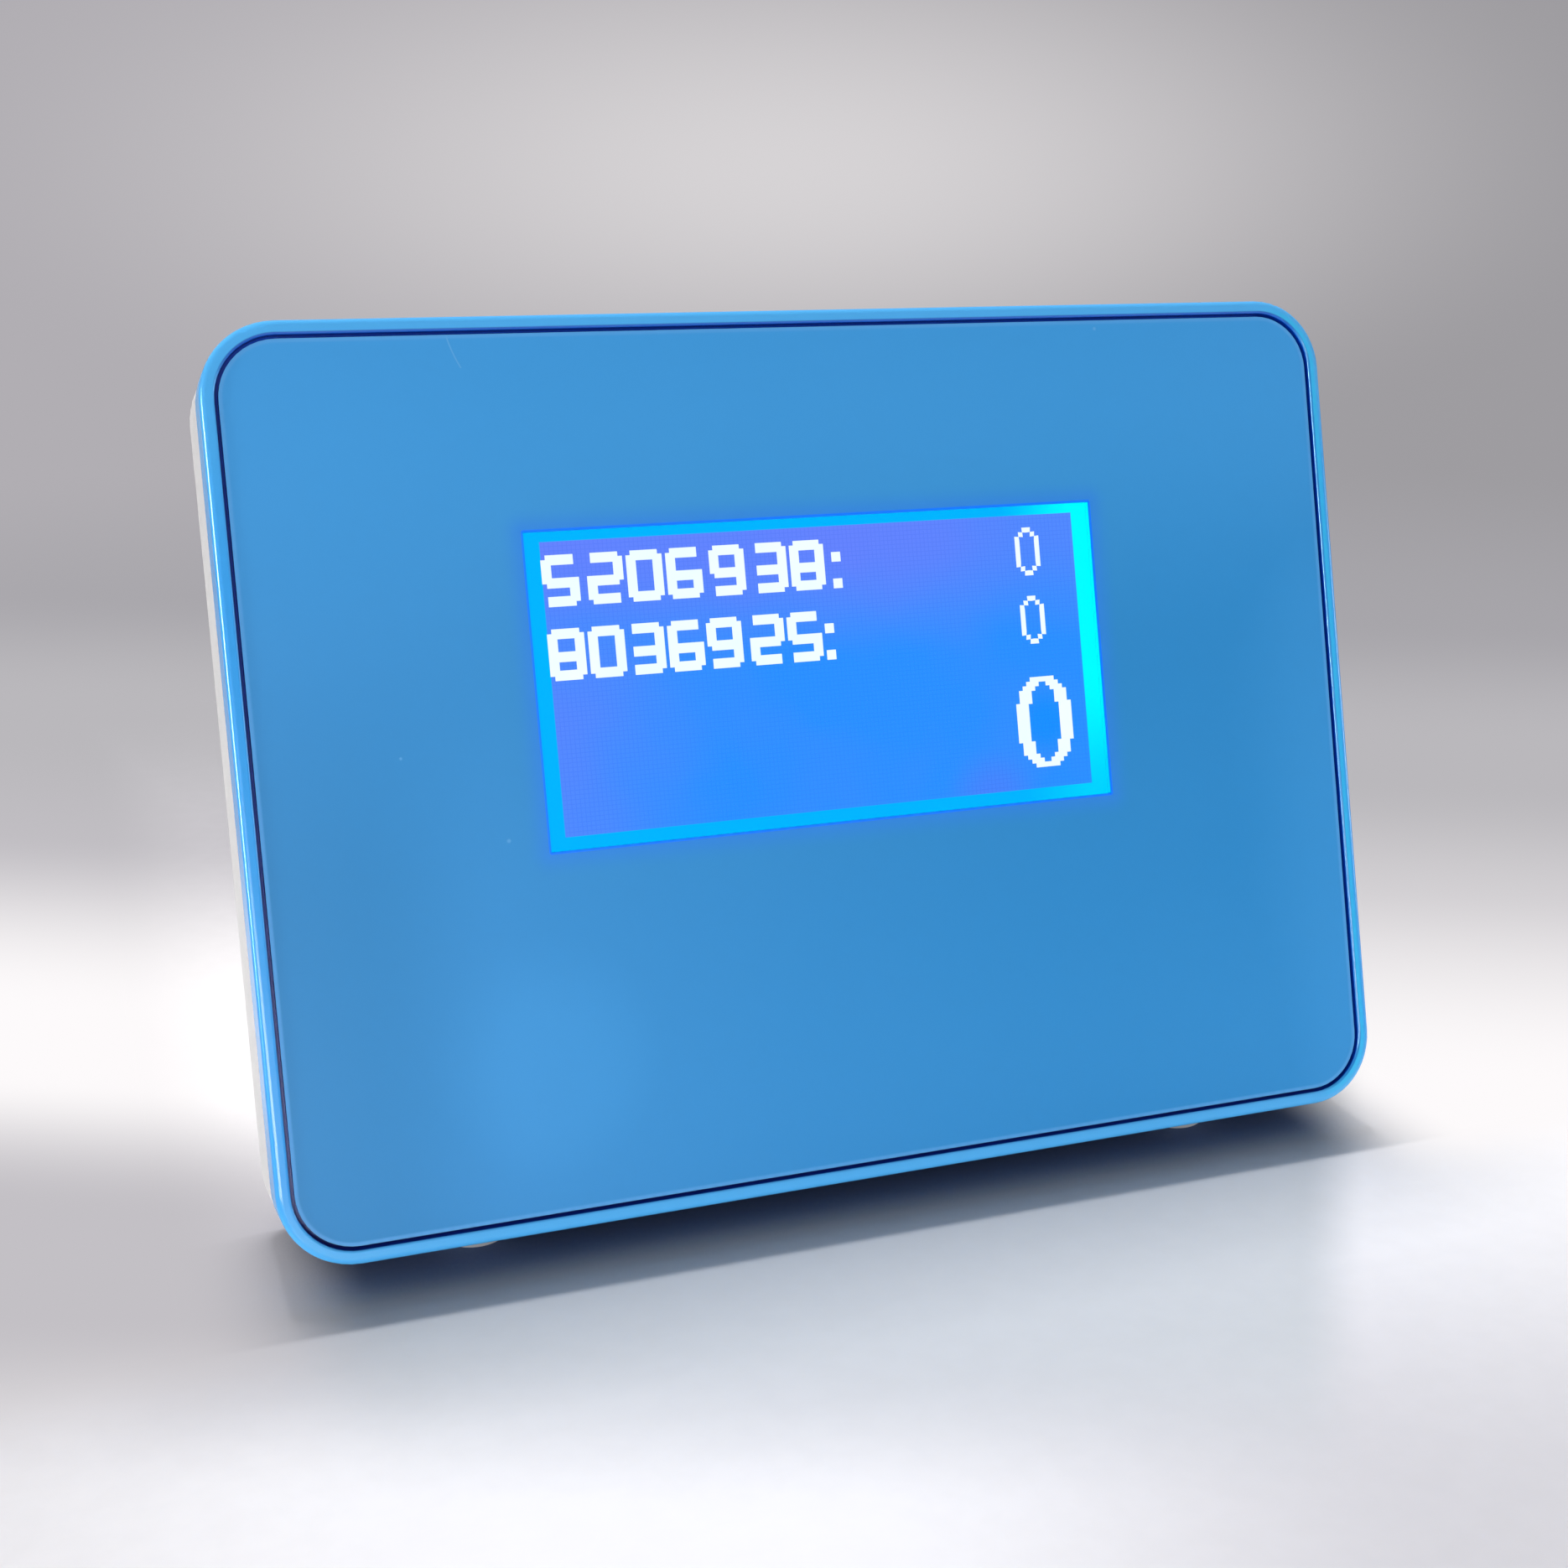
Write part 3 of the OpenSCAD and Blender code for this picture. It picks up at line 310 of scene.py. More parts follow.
# Boards: green mask with copper tracks that show through as paler lines
def boardFinish(name, look):
    finish, tree, shader = startFinish(name)
    point = millimetres(tree)
    across = put(tree, "SeparateXYZ", {0: point}).outputs[0]
    bend = product(tree, cloud(tree, point, 9), look["bend"])
    phase = calc(tree, "DIVIDE", calc(tree, "ADD", across, bend), look["trackPitch"])
    wave = calc(tree, "PINGPONG", phase, 0.5)
    region = fade(tree, cloud(tree, point, 7, 1.0), 0.48, 0.52)
    tracks = product(tree, fade(tree, wave, 0.2, 0.3), region)
    fill(tree, shader, {
        "Base Color": between(tree, tracks, paint(*look["mask"]), paint(*look["track"])),
        "Roughness": fade(tree, cloud(tree, point, 3), 0.3, 0.7, *look["rough"]),
        "Normal": lift(tree, tracks, 0.03),
        "Coat Weight": 0.3,
    })
    return finish


boardLook = {"mask": (16, 92, 48), "track": (34, 128, 70), "trackPitch": 1.3, "bend": 4.0,
             "rough": (0.28, 0.4)}
dress(boardFinish("boardGreen", boardLook), "lcd_board", "main_board")


# Striped rubber bars and the ribbed flat cable
def stripedFinish(name, look):
    finish, tree, shader = startFinish(name)
    point = millimetres(tree)
    along = put(tree, "SeparateXYZ", {0: point}).outputs[0]
    wave = calc(tree, "PINGPONG", calc(tree, "DIVIDE", along, look["pitch"]), 0.5)
    band = fade(tree, wave, *look["step"])
    fill(tree, shader, {
        "Base Color": between(tree, band, paint(*look["dark"]), paint(*look["pale"])),
        "Roughness": fade(tree, cloud(tree, point, 1.5), 0.3, 0.7, *look["rough"]),
        "Normal": lift(tree, band, look["relief"]),
    })
    return finish


zebraLook = {"pitch": 0.2, "step": (0.22, 0.28), "relief": 0.005, "rough": (0.5, 0.68),
             "dark": (30, 30, 31), "pale": (214, 204, 178)}
ribbonLook = {"pitch": 1.27, "step": (0.02, 0.35), "relief": 0.25, "rough": (0.5, 0.68),
              "dark": (120, 122, 128), "pale": (166, 168, 174)}
dress(stripedFinish("zebraRubber", zebraLook), "zebra_strips")
dress(stripedFinish("ribbonGrey", ribbonLook), "ribbon_cable")


# Clear pieces: a tint that a faint haze dims and roughens in patches
def clearFinish(name, look):
    finish, tree, shader = startFinish(name)
    point = millimetres(tree)
    haze = cloud(tree, point, look["haze"])
    fill(tree, shader, {
        "Base Color": between(tree, haze, paint(*look["tint"], 0.985), paint(*look["tint"])),
        "Roughness": fade(tree, haze, 0.35, 0.7, look["rough"], look["rough"] * 1.8),
        "IOR": look["ior"],
        "Specular IOR Level": look["shine"],
        "Transmission Weight": 1.0,
    })
    return finish


clearLooks = {
    "clearLens": {"nodes": ["window_lens"], "tint": (250, 252, 255), "rough": 0.012, "ior": 1.1,
                  "shine": 0.1, "haze": 18},
    "cellGlass": {"nodes": ["front_glass", "rear_glass", "rear_polariser"], "tint": (226, 240, 246),
                  "rough": 0.02, "ior": 1.52, "shine": 0.5, "haze": 12},
    "guideAcrylic": {"nodes": ["light_guide"], "tint": (236, 248, 255), "rough": 0.08, "ior": 1.49,
                     "shine": 0.5, "haze": 3},
}
for finishName, finishLook in clearLooks.items():
    dress(clearFinish(finishName, finishLook), *finishLook["nodes"])


# Lamp strip: warm white body with a glowing spot at each lamp
def lampFinish(look):
    finish, tree, shader = startFinish("lampStrip")
    point = millimetres(tree)
    along = put(tree, "SeparateXYZ", {0: point}).outputs[0]
    wave = calc(tree, "PINGPONG", calc(tree, "DIVIDE", along, look["pitch"]), 0.5)
    spot = fade(tree, wave, 0.3, 0.5)
    fill(tree, shader, {
        "Base Color": between(tree, spot, paint(*look["body"]), paint(*look["lamp"])),
        "Roughness": fade(tree, cloud(tree, point, 1.0), 0.3, 0.7, *look["rough"]),
        "Emission Color": between(tree, spot, paint(0, 0, 0), paint(*look["light"])),
        "Emission Strength": 1.0,
    })
    return finish


lampLook = {"pitch": 8.0, "body": (238, 236, 228), "lamp": (250, 236, 150), "light": (120, 170, 255),
            "rough": (0.3, 0.45)}
dress(lampFinish(lampLook), "backlight_leds")
print("inside pieces dressed")


# Panel: satin blue sheet, with the window's printed line, which also glows with painted light,
# and the screen's light painted round it.
# Its ranges are written as the bezel's are, in millimetres from the panel's middle.
window = {"middle": (-0.4, 9.1), "size": (70.0, 35.5)}
panelEdge = {"middle": (0.0, 0.0), "size": (133.5, 97.7), "corner": 6.5}
panelLook = {
    "pale": (58, 152, 221),
    "deep": (44, 146, 215),
    "deepRight": (-50, 75),
    "deepWander": 30.0,
    "ends": (68, 165, 236),
    "endsUp": (5, 42, 0.0, 0.9),
    "endsDown": (-15, -42, 0.0, 0.15),
    "endsRight": (50, 66, 0.0, 0.4),
    "patch": {"middle": (-38.0, -33.0), "reach": 17.0, "share": 0.5},
    "dull": (40, 137, 201),
    "dullLeft": (-40, -58, 0.0, 0.75),
    "dullDown": (20, -15),
    "spill": (50, 140, 244),
    "spillAway": (0.0, 4.0, 0.85, 0.0),
    "spillFall": 2.2,
    "line": (0, 108, 236),
    "lineAway": (0.21, 0.39, 1.0, 0.0),
    "lineGlow": 0.45,
    "brimHighlight": (92, 172, 238),
    "brimHighlightInside": (-0.56, -0.24, 0.0, 0.8),
    "side": (0, 70, 170),
    "grooveShadeAway": (-0.05, -0.02),
    "grooveShadeDown": (-0.02, -0.08),
    "cloud": 30,
    "rough": 0.42,
    "grain": 0.3,
    "relief": 0.004,
}
# Marks of use: a hair's fine curved trace at the top, and specks, each with its middle and radius
marksLook = {
    "tone": (122, 192, 244),
    "hairMiddle": (-28.0, 52.0),
    "hairRadius": 14.4,
    "hairWidth": 0.1,
    "hairLowest": 45.2,
    "hairRight": -38.0,
    "hairShare": 0.55,
    "specks": [((-51.17, 3.18), 0.24), ((-40.15, -6.93), 0.32), ((37.41, 47.85), 0.3)],
    "speckShare": 0.5,
}


def nearness(tree, point, middle, radius, width):
    # one on a circle's line, within three tenths of the width, and nothing beyond the width;
    # a radius of nought gives a spot
    offset = calc(tree, "SUBTRACT", flatDistance(tree, point, middle), radius)
    return fade(tree, calc(tree, "ABSOLUTE", offset), width * 0.3, width, 1.0, 0.0)


def panelMarks(tree, point, right, up, look):
    hair = nearness(tree, point, look["hairMiddle"], look["hairRadius"], look["hairWidth"])
    onArc = calc(tree, "GREATER_THAN", up, look["hairLowest"])
    atLeft = calc(tree, "LESS_THAN", right, look["hairRight"])
    marks = product(tree, hair, onArc, atLeft, look["hairShare"])
    for middle, width in look["specks"]:
        speck = nearness(tree, point, middle, 0.0, width)
        marks = highest(tree, marks, product(tree, speck, look["speckShare"]))
    return marks


def panelBody(tree, point, right, up, broad, look):
    # the sheet deepens to the right in painted shade and pales at its top and foot in painted light,
    # and pales too toward its right edge and in one patch; its left foot is dull
    drifted = calc(tree, "ADD", right, product(tree, broad, look["deepWander"]))
    # painted shade: the sheet darkens toward the right
    deepening = fade(tree, drifted, *look["deepRight"])
    middle = between(tree, deepening, paint(*look["pale"]), paint(*look["deep"]))
    patch = nearness(tree, point, look["patch"]["middle"], 0.0, look["patch"]["reach"])
    patch = product(tree, patch, look["patch"]["share"])
    # painted light: paler toward the top and the foot; also paler toward the right edge and in one patch
    ends = highest(tree, fade(tree, up, *look["endsUp"]), fade(tree, up, *look["endsDown"]),
                   fade(tree, right, *look["endsRight"]), patch)
    body = between(tree, ends, middle, paint(*look["ends"]))
    dull = product(tree, fade(tree, right, *look["dullLeft"]), fade(tree, up, *look["dullDown"]))
    return between(tree, dull, body, paint(*look["dull"]))


def panelFinish(look):
    # laid over the body in turn: the screen's painted light, the window's printed line, the marks, a
    # painted highlight along the brim of the edge, and painted shade on the side of the sheet's thickness
    finish, tree, shader = startFinish("panelBlue")
    point = onFace(tree)
    right, up, out = put(tree, "SeparateXYZ", {0: point}).outputs
    broad = cloud(tree, point, look["cloud"])
    fromWindow = edgeDistance(tree, point, window)
    fromEdge = edgeDistance(tree, point, panelEdge)
    spill = calc(tree, "POWER", fade(tree, fromWindow, *look["spillAway"]), look["spillFall"])
    line = fade(tree, fromWindow, *look["lineAway"])
    # painted shade on the sheet's edge where it drops into the groove
    side = product(tree, fade(tree, fromEdge, *look["grooveShadeAway"]), fade(tree, out, *look["grooveShadeDown"]))
    tone = panelBody(tree, point, right, up, broad, look)
    tone = between(tree, spill, tone, paint(*look["spill"]))
    tone = between(tree, line, tone, paint(*look["line"]))
    marks = panelMarks(tree, point, right, up, marksLook)
    tone = between(tree, marks, tone, paint(*marksLook["tone"]))
    # painted highlight along the brim just inside the sheet's edge
    tone = between(tree, fade(tree, fromEdge, *look["brimHighlightInside"]), tone, paint(*look["brimHighlight"]))
    fill(tree, shader, {
        "Base Color": between(tree, side, tone, paint(*look["side"])),
        "Specular IOR Level": 0.35,
        "Roughness": waver(tree, broad, look["rough"], 0.08),
        "Normal": lift(tree, cloud(tree, point, look["grain"], 5.0), look["relief"]),
        # the window's printed line also glows here: painted light
        "Emission Color": between(tree, line, paint(0, 0, 0), paint(*look["line"])),
        "Emission Strength": look["lineGlow"],
    })
    return finish


dress(panelFinish(panelLook), "front_panel")
print("panel dressed")

# Screen: a lit field of 128 by 64 dots inside a brighter border, with ranges as the panel's
screen = {
    "middle": (0.0, 9.3),
    "size": (66.52, 33.24),
    "dots": (128, 64),
    "azure": (44, 146, 255),
    "violet": (102, 132, 252),
    "violetUp": (9, 24, 0.0, 0.95),
    "violetRight": (14, 30, 1.0, 0.5),
    "violetLeft": (-12, -36, 0.0, 0.6),
    "cloud": 16,
    "cloudShare": (0.3, 0.7, -0.06, 0.1),
    "magenta": (96, 112, 246),
    "magentaMiddle": (20.0, -8.0),
    "magentaAway": (1.0, 7.0, 0.35, 0.0),
    "clear": (4, 146, 255),
    "clearMiddle": (27.5, 0.7),
    "clearAway": (1.0, 5.0, 0.7, 0.0),
    "grid": (20, 90, 220),
    "gridShare": 0.16,
    "gap": 0.05,
    "gapCore": 0.03,
    "gapSoft": 0.05,
    "border": (0, 182, 255),
    "borderAway": (-0.06, 0.06),
    "brightBorder": (0, 255, 255),
    "brightRight": (23, 34),
    "brightUp": (-9, 6, 0.35, 1.0),
    "body": (2, 6, 30),
    "light": 1.03,
}


def dotGrid(tree, along, look):
    # one on the fine dark lines between the dots, from the distance to the nearest cell's edge;
    # the gap is in millimetres, its core and soft side are parts of a cell
    grid = 0.0
    for axis in (0, 1):
        pitch = look["size"][axis] / look["dots"][axis]
        start = look["middle"][axis] - look["size"][axis] / 2
        cells = calc(tree, "DIVIDE", calc(tree, "SUBTRACT", along[axis], start), pitch)
        near = calc(tree, "PINGPONG", cells, 0.5)
        outer = look["gap"] / pitch + look["gapSoft"]
        grid = calc(tree, "MAXIMUM", fade(tree, near, look["gapCore"], outer, 1.0, 0.0), grid)
    return grid


def litFieldFinish(look):
    finish, tree, shader = startFinish("litField")
    point = onFace(tree)
    along = put(tree, "SeparateXYZ", {0: point}).outputs
    right, up = along[:2]
    top = product(tree, fade(tree, up, *look["violetUp"]), fade(tree, right, *look["violetRight"]))
    violet = highest(tree, top, fade(tree, right, *look["violetLeft"]))
    patches = fade(tree, cloud(tree, point, look["cloud"], 2.0), *look["cloudShare"])
    violet = calc(tree, "ADD", violet, patches, clamp=True)
    field = between(tree, violet, paint(*look["azure"]), paint(*look["violet"]))
    magenta = fade(tree, flatDistance(tree, point, look["magentaMiddle"]), *look["magentaAway"])
    field = between(tree, magenta, field, paint(*look["magenta"]))
    clear = fade(tree, flatDistance(tree, point, look["clearMiddle"]), *look["clearAway"])
    field = between(tree, clear, field, paint(*look["clear"]))
    grid = product(tree, dotGrid(tree, along, look), look["gridShare"])
    ruled = between(tree, grid, field, paint(*look["grid"]))
    bright = product(tree, fade(tree, right, *look["brightRight"]), fade(tree, up, *look["brightUp"]))
    border = between(tree, bright, paint(*look["border"]), paint(*look["brightBorder"]))
    outside = fade(tree, edgeDistance(tree, point, look), *look["borderAway"])
    fill(tree, shader, {
        "Base Color": paint(*look["body"]),
        "Roughness": 0.5,
        "Specular IOR Level": 0.0,
        "Emission Color": between(tree, outside, ruled, border),
        "Emission Strength": look["light"],
    })
    return finish


dress(litFieldFinish(screen), "front_polariser")


# Figures, as dots counted from the screen's top left corner
def barFigure(bars):
    # a figure of seven bars on 8 by 11 dots, numbered from 0: top, upper left, upper right,
    # middle, lower left, lower right, foot
    row, column = np.mgrid[0:11, 0:8]
    flat = (column > 0) & (column < 7)
    leftSide = column < 2
    rightSide = column > 5
    upper = (row > 0) & (row < 6)
    lower = (row > 4) & (row < 10)
    shapes = [
        flat & (row < 2),
        leftSide & upper,
        rightSide & upper,
        flat & (row > 4) & (row < 7),
        leftSide & lower,
        rightSide & lower,
        flat & (row > 8),
    ]
    lit = np.zeros(row.shape, bool)
    for index in bars:
        lit |= shapes[index]
    return lit


def thinNought():
    # one dot wide: an outer octagon less an inner one, on 6 by 11 dots
    row, column = np.mgrid[-5:6, -2.5:3]
    steps = np.abs(row) + np.abs(column)
    inner = (np.abs(row) < 5) & (np.abs(column) < 2) & (steps < 5)
    return (steps < 6) & ~inner


def bigNought():
    # three dots wide, on 14 by 21 dots: the half width is 7 in the middle rows, 6 further out,
    # then a dot less with each row
    row, column = np.mgrid[-10:11, -6.5:7]
    half = 7 - np.maximum(np.abs(row) > 4, np.abs(row) - 6)
    return (np.abs(column) < half) & (np.abs(column) > half - 3)


figureBars = {
    "0": (0, 1, 2, 4, 5, 6),
    "2": (0, 2, 3, 4, 6),
    "3": (0, 2, 3, 5, 6),
    "5": (0, 1, 3, 5, 6),
    "6": (0, 1, 3, 4, 5, 6),
    "8": (0, 1, 2, 3, 4, 5, 6),
    "9": (0, 1, 2, 3, 5, 6),
}
figuresLook = {
    "rows": [
        {"figures": "5206938", "top": 3, "pitch": 9.5, "colon": 67},
        {"figures": "8036925", "top": 19, "pitch": 9.1, "colon": 64},
    ],
    "colonDrops": (3, 9),
    "noughtLeft": 113,
    "bigLeft": 110,
    "bigTop": 38,
}


def stamp(field, shape, left, top):
    tall, wide = shape.shape
    field[top:top + tall, left:left + wide] |= shape


def screenDots(dots, look):
    field = np.zeros((dots[1], dots[0]), bool)
    for row in look["rows"]:
        for index, figure in enumerate(row["figures"]):
            stamp(field, barFigure(figureBars[figure]), round(index * row["pitch"]), row["top"])
        for drop in look["colonDrops"]:
            stamp(field, np.ones((2, 2), bool), row["colon"], row["top"] + drop)
        stamp(field, thinNought(), look["noughtLeft"], row["top"])
    stamp(field, bigNought(), look["bigLeft"], look["bigTop"])
    return field


def facePoints(u, v, out):
    # face millimetres to metres in the frame
    right = np.array([1.0, 0.0, 0.0])
    along = u[..., None] * right + v[..., None] * np.array(faceUp) + out[..., None] * np.array(faceOut)
    return np.array(faceMiddle) + along * mm


# Lit dots, seated just above the display's front sheet, which lies this deep behind the panel's surface
polariserDepth = 2.3
dotLook = {
    "seat": -polariserDepth + 0.005,
    "thick": 0.03,
    "swell": 0.05,
    "body": (20, 34, 50),
    "cool": (234, 253, 252),
    "white": (250, 255, 252),
    "light": 1.05,
}


def buildDots(field, look):
    # lit dots merge into thin tablets: every lit cell has a front and a back quad on shared corners,
    # and a side quad only where the next cell along a row or column is dark
    lit = np.pad(screenDots(field["dots"], figuresLook), 1)
    pitch = field["size"][0] / field["dots"][0]
    rowLine, columnLine = np.mgrid[0:lit.shape[0] + 1, 0:lit.shape[1] + 1]
    u = field["middle"][0] - field["size"][0] / 2 + (columnLine.ravel() - 1) * pitch
    v = field["middle"][1] + field["size"][1] / 2 - (rowLine.ravel() - 1) * pitch
    # each corner moves away from the lit cells round it, so the strokes swell a little
    cells = np.pad(lit.astype(float), 1)
    upper, lower = cells[:-1], cells[1:]
    litLeft = upper[:, :-1] + lower[:, :-1] - upper[:, 1:] - lower[:, 1:]
    litAbove = upper[:, :-1] + upper[:, 1:] - lower[:, :-1] - lower[:, 1:]
    u = u + np.clip(litLeft, -1, 1).ravel() * look["swell"]
    v = v - np.clip(litAbove, -1, 1).ravel() * look["swell"]
    layers = [facePoints(u, v, np.full(u.shape, look["seat"] + rise)) for rise in (0.0, look["thick"])]
    wide = lit.shape[1] + 1
    front = len(u)
    row, column = np.nonzero(lit)
    corner = row * wide + column
    loops = [np.stack([corner + wide, corner + wide + 1, corner + 1, corner], -1) + front]
    loops.append(np.stack([corner, corner + 1, corner + wide + 1, corner + wide], -1))
    # each side as the step to the neighbour and the two corners of the shared edge, seen from outside
    sides = ((-1, 0, 1, 0), (1, 0, wide, wide + 1), (0, -1, 0, wide), (0, 1, wide + 1, 1))
    for stepRow, stepColumn, start, end in sides:
        bare = ~lit[row + stepRow, column + stepColumn]
        a, b = corner[bare] + start, corner[bare] + end
        loops.append(np.stack([a, b, b + front, a + front], -1))
    faces = np.concatenate(loops)
    used, faces = np.unique(faces, return_inverse=True)
    mesh = bpy.data.meshes.new("litDots")
    mesh.from_pydata(np.concatenate(layers)[used].tolist(), [], faces.reshape(-1, 4).tolist())
    dots = bpy.data.objects.new("litDots", mesh)
    bpy.context.scene.collection.objects.link(dots)
    return dots


def dotFinish(look):
    finish, tree, shader = startFinish("dotWhite")
    patches = cloud(tree, onFace(tree), 6)
    fill(tree, shader, {
        "Base Color": paint(*look["body"]),
        "Roughness": 0.5,
        "Specular IOR Level": 0.0,
        "Emission Color": between(tree, patches, paint(*look["cool"]), paint(*look["white"])),
        "Emission Strength": look["light"],
    })
    return finish


litDots = buildDots(screen, dotLook)
litDots.data.materials.append(dotFinish(dotLook))
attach(litDots, "root")
print("screen built,", len(litDots.data.polygons), "faces in its figures")


# Camera: stands to the left, held level, and looks down a little; place in metres, angles in degrees
cameraLook = {"place": (-0.0864, -0.23075, 0.11537), "turn": 20.0, "dip": 15.83,
              "lens": 47.6, "sensor": 36.0, "nearest": 0.01}
cameraData = bpy.data.cameras.new("viewCamera")
cameraData.lens = cameraLook["lens"]
cameraData.sensor_width = cameraLook["sensor"]
cameraData.clip_start = cameraLook["nearest"]
camera = bpy.data.objects.new("viewCamera", cameraData)
camera.location = cameraLook["place"]
camera.rotation_euler = (math.radians(90 - cameraLook["dip"]), 0, math.radians(-cameraLook["turn"]))
bpy.context.scene.collection.objects.link(camera)
bpy.context.scene.camera = camera
bpy.context.scene.view_settings.view_transform = "Standard"

# Lamps: place and size in metres, power in watts. One without gloss leaves no highlight, and one
# without spread gives nothing but its highlight.
lamps = {
    # soft wash on the face and on the floor before it
    "frontSoft": {"place": (-0.42, -1.05, 0.1), "size": (0.8, 0.18), "power": 6.95},
    # the thin one draws the shadow's straight front edge, the broad one the soft shade within it
    "sharpTop": {"place": (0.0, 0.258, 0.95), "size": (0.26, 0.008), "power": 3.85, "gloss": False},
    "topSoft": {"place": (0.0, 0.33, 0.95), "size": (0.26, 0.2), "power": 4.7, "gloss": False},
    # faint fills from behind
    "backLeft": {"place": (-0.6, 0.35, 0.6), "size": (0.55, 0.4), "power": 0.3, "gloss": False},
    "backRight": {"place": (0.62, 0.24, 0.6), "size": (0.5, 0.4), "power": 0.7, "gloss": False},
    # a cool streak down the left rim, and the light that goes with it
    "leftStrip": {"place": (-0.75, -0.12, 0.16), "size": (0.04, 0.32), "power": 9.0, "spread": False,
                  "tint": (0.55, 0.95, 1.0)},
    "leftSoft": {"place": (-0.75, -0.12, 0.095), "size": (0.06, 0.18), "power": 1.9, "gloss": False},
    "rightSoft": {"place": (0.7, -0.25, 0.1), "size": (0.14, 0.16), "power": 0.9},
}
lampAim = Vector((0, 0, 0.055))
for lampName, lamp in lamps.items():
    light = bpy.data.lights.new(lampName, "AREA")
    light.shape = "RECTANGLE"
    light.size, light.size_y = lamp["size"]
    light.energy = lamp["power"]
    light.color = lamp.get("tint", (1, 1, 1))
    holder = bpy.data.objects.new(lampName, light)
    holder.visible_glossy = lamp.get("gloss", True)
    holder.visible_diffuse = lamp.get("spread", True)
    holder.location = lamp["place"]
    holder.rotation_euler = (lampAim - holder.location).to_track_quat("-Z", "Y").to_euler()
    bpy.context.scene.collection.objects.link(holder)

# Studio air: faint even light for the object, a grey backdrop with a soft glow to the eye and in gloss.
# Its measures are parts of a unit direction: aside is to the right of the heading.
air = {
    "strength": 0.05,
    "light": (0.97, 0.985, 1.0, 1.0),
    "left": (177, 174, 179),
    "right": (158, 156, 160),
    "wallAside": (-0.33, 0.36),
    "glow": (214, 211, 213),
    "glowUp": 0.014,
    "glowSize": (0.22, 0.08),
    "glowAway": (0.0, 1.8, 1.0, 0.0),
    "glowAhead": (0.0, 0.5),
    "heading": math.radians(20),
}


def seenDirectly(tree):
    path = put(tree, "LightPath").outputs
    return highest(tree, path["Is Camera Ray"], path["Is Glossy Ray"], path["Is Transmission Ray"])


def buildAir(look):
    # the glow is an oval round one direction of the sky: the root of the sum of squares of the
    # ways aside and up, each over the oval's size that way
    world = bpy.data.worlds.new("studioAir")
    bpy.context.scene.world = world
    world.use_nodes = True
    tree = world.node_tree
    tree.nodes.clear()
    way = put(tree, "TexCoord").outputs["Generated"]
    rightward = (math.cos(look["heading"]), -math.sin(look["heading"]), 0.0)
    forward = (-rightward[1], rightward[0], 0.0)
    aside = put(tree, "VectorMath", {0: way, 1: rightward}, operation="DOT_PRODUCT").outputs["Value"]
    ahead = put(tree, "VectorMath", {0: way, 1: forward}, operation="DOT_PRODUCT").outputs["Value"]
    up = put(tree, "SeparateXYZ", {0: way}).outputs[2]
    wide = calc(tree, "DIVIDE", aside, look["glowSize"][0])
    tall = calc(tree, "DIVIDE", calc(tree, "SUBTRACT", up, look["glowUp"]), look["glowSize"][1])
    squares = calc(tree, "ADD", product(tree, wide, wide), product(tree, tall, tall))
    oval = fade(tree, calc(tree, "SQRT", squares), *look["glowAway"])
    glow = product(tree, oval, fade(tree, ahead, *look["glowAhead"]))
    wall = between(tree, fade(tree, aside, *look["wallAside"]), paint(*look["left"]), paint(*look["right"]))
    tone = between(tree, glow, wall, paint(*look["glow"]))
    lightBack = put(tree, "Background", {"Color": look["light"], "Strength": look["strength"]})
    seenBack = put(tree, "Background", {"Color": tone, "Strength": 1.0})
    inputs = {0: seenDirectly(tree), 1: lightBack.outputs[0], 2: seenBack.outputs[0]}
    put(tree, "OutputWorld", {"Surface": put(tree, "MixShader", inputs).outputs[0]})


buildAir(air)

# Floor: a round sheet that keeps the object's shadow nearby and dissolves into the air far out.
# Its paint has painted light in a bright band beside and behind the object and in a bright pool in
# front, a painted shadow on the left, and a strip of painted shade before the object, tinted by its
# blue front as a painted reflection; further back it grows darker. Ranges are in metres, ahead and
# aside as the camera sees them, or x and y of the frame.
floorLook = {
    "radius": 1.2,
    "rings": 40,
    "spokes": 96,
    "sheet": (219, 216, 219),
    "leftShadow": (195, 192, 197),
    "leftSide": (-0.035, -0.065),
    "dim": (186, 184, 188),
    "dimRise": (0.068, 0.18),
    "far": (168, 166, 171),
    "farRise": (0.21, 0.35),
    "bright": (253, 250, 251),
    "bandTilt": 0.128,
    "bandRise": (-0.075, 0.005),
    "bandFall": (0.024, 0.108, 1.0, 0.0),
    "bandRight": (-0.03, 0.03),
    "leftRise": (-0.036, 0.0),
    "poolAhead": (-0.048, -0.083),
    "poolRight": (0.06, 0.0),
    "poolLeft": (-0.16, -0.02),
    "shadeStrip": (211, 213, 216),
    "shadeStripRight": {"slope": 0.695, "start": 0.0837, "soft": (0.003, -0.007)},
    "shadeStripLeft": {"slope": 0.14, "start": -0.0614, "soft": (-0.006, 0.01)},
    "shadeStripAhead": (-0.085, -0.05),
    "shadeStripBack": (0.03, -0.01),
    "contactShade": (76, 92, 126),
    "contactShadeReach": 0.012,
    "contactShadeOpen": (0.05, 0.95),
    "shadowAside": (0.059, 0.08),
    "shadowBack": (-0.045, -0.03),
    "shadowReach": (0.17, 0.27),
    "dissolve": (0.3, 0.75),
}


def pastLine(tree, x, y, line):
    # fades across a straight line on the floor, by how far x lies past slope times y plus start
    aside = calc(tree, "SUBTRACT", x, product(tree, y, line["slope"]))
    return fade(tree, calc(tree, "SUBTRACT", aside, line["start"]), *line["soft"])


